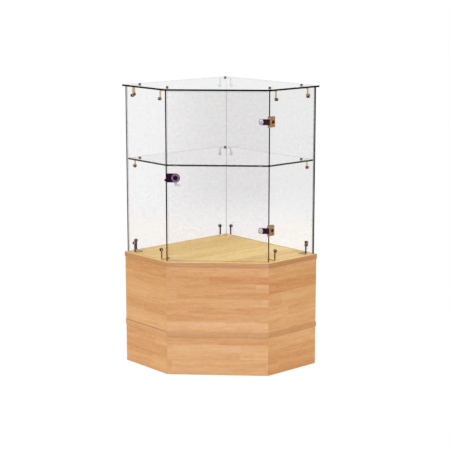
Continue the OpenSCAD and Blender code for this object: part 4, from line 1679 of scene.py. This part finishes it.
@dataclass
class Fittings:
    """Hinges, lock, keeper and shelf clips."""

    shop: Workshop
    finishes: Finishes
    lock_ring_r: float = 14.0 * MM
    ring_clear: float = 0.1 * MM
    leaf_end_share: float = 0.2
    leaf_edge_mm: float = 0.5

    def build(self) -> None:
        """Dresses every fitting."""
        self.dress_hinges()
        self.dress_lock()
        self.dress("shelf_buffers", [self.finishes.plastic], Body.CABINET, Slot.PLASTIC, edge_mm=0.6)

    def dress_hinges(self) -> None:
        """Dresses the two hinges, and the plates, screws and gaskets that hold both."""
        f = self.finishes
        for node in ("upper_hinge_pane_leaf", "lower_hinge_pane_leaf"):
            # Pane leaves: brass with dark blotches of painted reflection, their rounded edges a darker brass
            # as painted shade.
            both = [f.leaf_brass_painted_blotches, f.leaf_painted_shade_rim]
            self.dress(node, both, Body.CABINET, Slot.BRASS, edge_mm=0.8, edge_material=1)
        for node in ("upper_hinge_door_leaf", "lower_hinge_door_leaf"):
            self.dress_door_leaf(node)
        # Pins dark bronze as painted shade in the knuckles.
        for node in ("upper_hinge_pin", "lower_hinge_pin"):
            self.dress(node, [f.bronze], Body.CABINET, Slot.BRASS, edge_mm=0.3)
        self.dress("hinge_pane_backplates", [f.brass], Body.CABINET, Slot.BRASS, edge_mm=0.5)
        self.dress("hinge_door_backplates", [f.chrome], Body.DOOR, Slot.CHROME, edge_mm=0.5)
        self.dress("hinge_pane_screws", [f.leaf_screw], Body.CABINET, Slot.BRASS, edge_mm=0.4)
        # Door screw heads in chrome with painted highlights and painted dark reflections.
        self.dress("hinge_door_screws", [f.chrome_painted_glints], Body.DOOR, Slot.CHROME, edge_mm=0.5)
        self.dress("pane_gaskets", [f.plastic], Body.CABINET, Slot.PLASTIC, edge_mm=0.2)
        self.dress("door_gaskets", [f.plastic], Body.DOOR, Slot.PLASTIC, edge_mm=0.2)

    def dress_lock(self) -> None:
        """Dresses the lock and the clip that its cam catches."""
        f = self.finishes
        self.dress_lock_case()
        self.dress("lock_ring_nut", [f.chrome], Body.DOOR, Slot.CHROME, edge_mm=0.4)
        self.dress("lock_plug", [f.lock_chrome], Body.PLUG, Slot.STEEL, edge_mm=0.3)
        self.dress("lock_cam", [f.zinc], Body.PLUG, Slot.STEEL, edge_mm=0.4)
        self.dress("lock_cam_nut", [f.zinc], Body.PLUG, Slot.STEEL, edge_mm=0.3)
        self.dress("lock_keeper", [f.chrome], Body.CABINET, Slot.CHROME, edge_mm=0.3)

    def dress_door_leaf(self, node: str) -> None:
        """Dresses one door leaf: its arm is dark chrome, and its round end is pale, with blotches of painted
        highlight and painted dark reflection.

        Args:
            node: the leaf's CAD node.
        """
        mesh = self.shop.cad_copy(node, FINE_HAIR)
        low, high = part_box("hinge_door_screws")
        end_x = high.x - (high.x - low.x) * self.leaf_end_share
        work = bmesh.new()
        work.from_mesh(mesh)
        everything = [*work.verts, *work.edges, *work.faces]
        bmesh.ops.bisect_plane(work, geom=everything, plane_co=(end_x, 0.0, 0.0), plane_no=(1.0, 0.0, 0.0))
        for face in work.faces:
            face.material_index = int(face.calc_center_median().x < end_x)
        work.to_mesh(mesh)
        work.free()
        parts = mesh_values(mesh.polygons, "material_index", kind=int)
        both = [self.finishes.chrome, self.finishes.chrome_painted_glints]
        piece = self.shop.finish(node + "_finished", mesh, both, Body.DOOR, Slot.CHROME, node)
        set_face_materials(mesh, parts)
        self.shop.round_edges(piece, self.leaf_edge_mm)

    def dress_lock_case(self) -> None:
        """Dresses the lock's case, purple-black with a raised ring round the plug, whose blotches are
        painted highlights and painted dark reflections.
        """
        both = [self.finishes.lock_chrome, self.finishes.ring_painted_glints]
        piece = self.dress("lock_case", both, Body.DOOR, Slot.CHROME, edge_mm=0.5)
        low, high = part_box("lock_plug")
        middle = (low + high) / 2.0
        corners, _, totals = face_arrays(piece.data)
        distance = np.hypot(corners[:, 0] - middle.x, corners[:, 2] - middle.z)
        starts = np.cumsum(totals) - totals
        on_ring = np.maximum.reduceat(distance, starts) < self.lock_ring_r + self.ring_clear
        set_face_materials(piece.data, on_ring)

    def dress(
        self,
        node: str,
        materials: Sequence[bpy.types.Material],
        body: Body,
        slot: Slot,
        edge_mm: float,
        edge_material: int = -1,
    ) -> bpy.types.Object:
        """Rounds one fitting's edges and gives it its finish.

        Args:
            node: its CAD node.
            materials: its materials; all faces get the first.
            body: what it rides on.
            slot: its slot in the record.
            edge_mm: how wide its edges' rounding is.
            edge_material: which of its materials the rounding has, or -1 for that of its neighbours.

        Returns:
            The finished piece.
        """
        mesh = self.shop.cad_copy(node, FINE_HAIR)
        piece = self.shop.finish(node + "_finished", mesh, materials, body, slot, node)
        self.shop.round_edges(piece, edge_mm, material=edge_material)
        return piece


# Studio


@dataclass
class Studio:
    """Camera, lamps, world and floor.

    The greys, darks and brights are strengths of the world. Each span is a pair of values of one part of the
    direction, from -1 to 1, between which one strength gives way to another.
    """

    focal_mm: float = 107.394
    sensor_mm: float = 36.0
    eye: tuple[float, float, float] = (0.2946, -4.7478, 1.4374)
    pitch: float = 0.1975
    yaw: float = 0.0597
    floor_r: float = 1.1
    floor_down: float = 0.2 * MM
    floor_glow: float = 1.16
    glow_share: float = 0.74
    key_place: tuple[float, float, float] = (-2.6, -3.4, 3.4)
    key_watts: float = 64.0
    fill_place: tuple[float, float, float] = (2.9, -2.6, 2.4)
    fill_watts: float = 28.0
    lamp_w: float = 2.6
    lamp_aim: tuple[float, float, float] = (0.0, 0.0, 0.5)
    soft_light: float = 0.80
    inside_grey: float = 0.91
    left_grey: float = 0.14
    right_grey: float = 0.18
    rear_grey: float = 0.94
    front_dark: float = 0.04
    high_bright: float = 1.5
    across_span: tuple[float, float] = (-0.3, 0.3)
    rear_span: tuple[float, float] = (0.25, 0.60)
    front_span: tuple[float, float] = (-0.35, -0.80)
    above_span: tuple[float, float] = (-0.03, 0.12)
    high_span: tuple[float, float] = (0.22, 0.50)
    plain_backdrop: float = 1.0
    door_backdrop: float = 0.84
    right_backdrop: float = 0.89
    door_span: tuple[float, float] = (-0.120, -0.060)
    right_span: tuple[float, float] = (-0.030, -0.020)
    floor_span: tuple[float, float] = (-0.165, -0.200)

    def build(self) -> None:
        """Sets the whole studio up."""
        self.camera()
        self.world()
        self.floor()
        self.lamp("key_lamp", self.key_place, self.key_watts, True)
        self.lamp("fill_lamp", self.fill_place, self.fill_watts, False)
        bpy.context.scene.view_settings.view_transform = "Standard"

    def camera(self) -> None:
        """Places the camera where the photograph was taken from."""
        data = bpy.data.cameras.new("camera")
        data.lens = self.focal_mm
        data.sensor_width = self.sensor_mm
        data.clip_end = 50.0
        camera = bpy.data.objects.new("camera", data)
        camera.location = self.eye
        camera.rotation_euler = (math.pi / 2.0 - self.pitch, 0.0, self.yaw)
        bpy.context.scene.collection.objects.link(camera)
        bpy.context.scene.camera = camera

    def world(self) -> None:
        """White world to the eye, softer to matt surfaces, and a studio of its own for what is mirrored.

        Through glass the backdrop falls off a little behind the door and the right pane, above the floor.
        What is mirrored sees a dark room low in front and to the sides, the pale backdrop behind and above
        it, and a bright softbox high up. Polished faces seen through glass all mirror one pale grey.
        """
        world = bpy.data.worlds.new("studio")
        bpy.context.scene.world = world
        world.use_nodes = True
        world.node_tree.nodes.clear()
        g = Graph(world.node_tree)
        out = g.add("ShaderNodeOutputWorld")
        path = g.add("ShaderNodeLightPath")
        way = g.add("ShaderNodeTexCoord")
        parts = g.add("ShaderNodeSeparateXYZ", {0: way.outputs["Generated"]})
        x, y, z = parts.outputs
        room = [
            (x, self.across_span, self.right_grey),
            (y, self.rear_span, self.rear_grey),
            (y, self.front_span, self.front_dark),
            (z, self.above_span, self.rear_grey),
            (z, self.high_span, self.high_bright),
        ]
        backdrop = [
            (x, self.door_span, self.door_backdrop),
            (x, self.right_span, self.right_backdrop),
            (z, self.floor_span, self.plain_backdrop),
        ]
        mirrored = self.changing(g, self.left_grey, room)
        through = self.changing(g, self.plain_backdrop, backdrop)
        bounced = g.add(
            "ShaderNodeMath", {0: path.outputs["Glossy Depth"], 1: 0.5}, operation="GREATER_THAN"
        )
        outside = g.add(
            "ShaderNodeMix", {0: bounced.outputs[0], 2: self.soft_light, 3: mirrored}, data_type="FLOAT"
        )
        inside = g.add(
            "ShaderNodeMix", {0: bounced.outputs[0], 2: through, 3: self.inside_grey}, data_type="FLOAT"
        )
        unseen = g.add(
            "ShaderNodeMix",
            {0: path.outputs["Is Transmission Ray"], 2: outside.outputs[0], 3: inside.outputs[0]},
            data_type="FLOAT",
        )
        strength = g.add(
            "ShaderNodeMix", {0: path.outputs["Is Camera Ray"], 2: unseen.outputs[0], 3: 1.0},
            data_type="FLOAT",
        )
        shade = g.add(
            "ShaderNodeBackground", {"Color": (1.0, 1.0, 1.0, 1.0), "Strength": strength.outputs[0]}
        )
        g.tree.links.new(shade.outputs[0], out.inputs[0])

    @staticmethod
    def changing(
        g: Graph,
        start: float,
        changes: Sequence[tuple[bpy.types.NodeSocket, tuple[float, float], float]],
    ) -> bpy.types.NodeSocket:
        """Makes a strength of the world that changes with the direction, one change laid over the other.

        Args:
            g: the world's graph.
            start: the strength before any change.
            changes: for each one, the part of the direction, the span of it over which the strength changes,
                and the new strength.

        Returns:
            The strength's output socket.
        """
        strength = start
        for part, (first, last), new in changes:
            blend = g.add(
                "ShaderNodeMapRange", {0: part, 1: first, 2: last, 3: strength, 4: new},
                interpolation_type="SMOOTHSTEP",
            )
            strength = blend.outputs[0]
        return strength

    def floor(self) -> None:
        """Round white floor that keeps a faint shadow."""
        steps = 96
        angle = np.arange(steps) * 2.0 * math.pi / steps
        ring = np.column_stack([self.floor_r * np.cos(angle), self.floor_r * np.sin(angle), np.zeros(steps)])
        mesh = bpy.data.meshes.new("floor")
        mesh.from_pydata(ring.tolist(), [], [list(range(steps))])
        material, g, out = new_material("studio_floor")
        path = g.add("ShaderNodeLightPath")
        matt = g.add("ShaderNodeBsdfDiffuse", {"Color": (0.8, 0.8, 0.8, 1.0)})
        glow = g.add("ShaderNodeEmission", {"Color": (1.0, 1.0, 1.0, 1.0), "Strength": self.floor_glow})
        seen = g.add(
            "ShaderNodeMath", {0: path.outputs["Is Camera Ray"], 1: path.outputs["Is Transmission Ray"]},
            operation="MAXIMUM",
        )
        share = g.add("ShaderNodeMath", {0: seen.outputs[0], 1: self.glow_share}, operation="MULTIPLY")
        mixed = g.add("ShaderNodeMixShader", {0: share.outputs[0], 1: matt.outputs[0], 2: glow.outputs[0]})
        g.tree.links.new(mixed.outputs[0], out.inputs[0])
        mesh.materials.append(material)
        floor = bpy.data.objects.new("floor", mesh)
        floor.location.z = -self.floor_down
        bpy.context.scene.collection.objects.link(floor)

    def lamp(self, name: str, place: tuple[float, float, float], watts: float, seen_in_gloss: bool) -> None:
        """Adds a square soft lamp that faces the middle of the case.

        Args:
            name: its name.
            place: where it stands.
            watts: its power.
            seen_in_gloss: whether polished metal shows it as a highlight.
        """
        data = bpy.data.lights.new(name, "AREA")
        data.size = self.lamp_w
        data.energy = watts
        lamp = bpy.data.objects.new(name, data)
        lamp.location = place
        toward = Vector(self.lamp_aim) - Vector(place)
        lamp.rotation_euler = toward.to_track_quat("-Z", "Y").to_euler()
        lamp.visible_camera = False
        lamp.visible_glossy = seen_in_gloss
        lamp.visible_transmission = False
        bpy.context.scene.collection.objects.link(lamp)


def main() -> None:
    logging.basicConfig(level=logging.INFO, format="%(name)s: %(message)s")
    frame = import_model()
    shop = Workshop(frame)
    finishes = make_finishes()
    Studio().build()
    WoodenBase(shop, finishes).build()
    GlassSheets(shop, finishes).build()
    Connectors(shop, finishes).build()
    Fittings(shop, finishes).build()


if __name__ == "__main__":
    main()
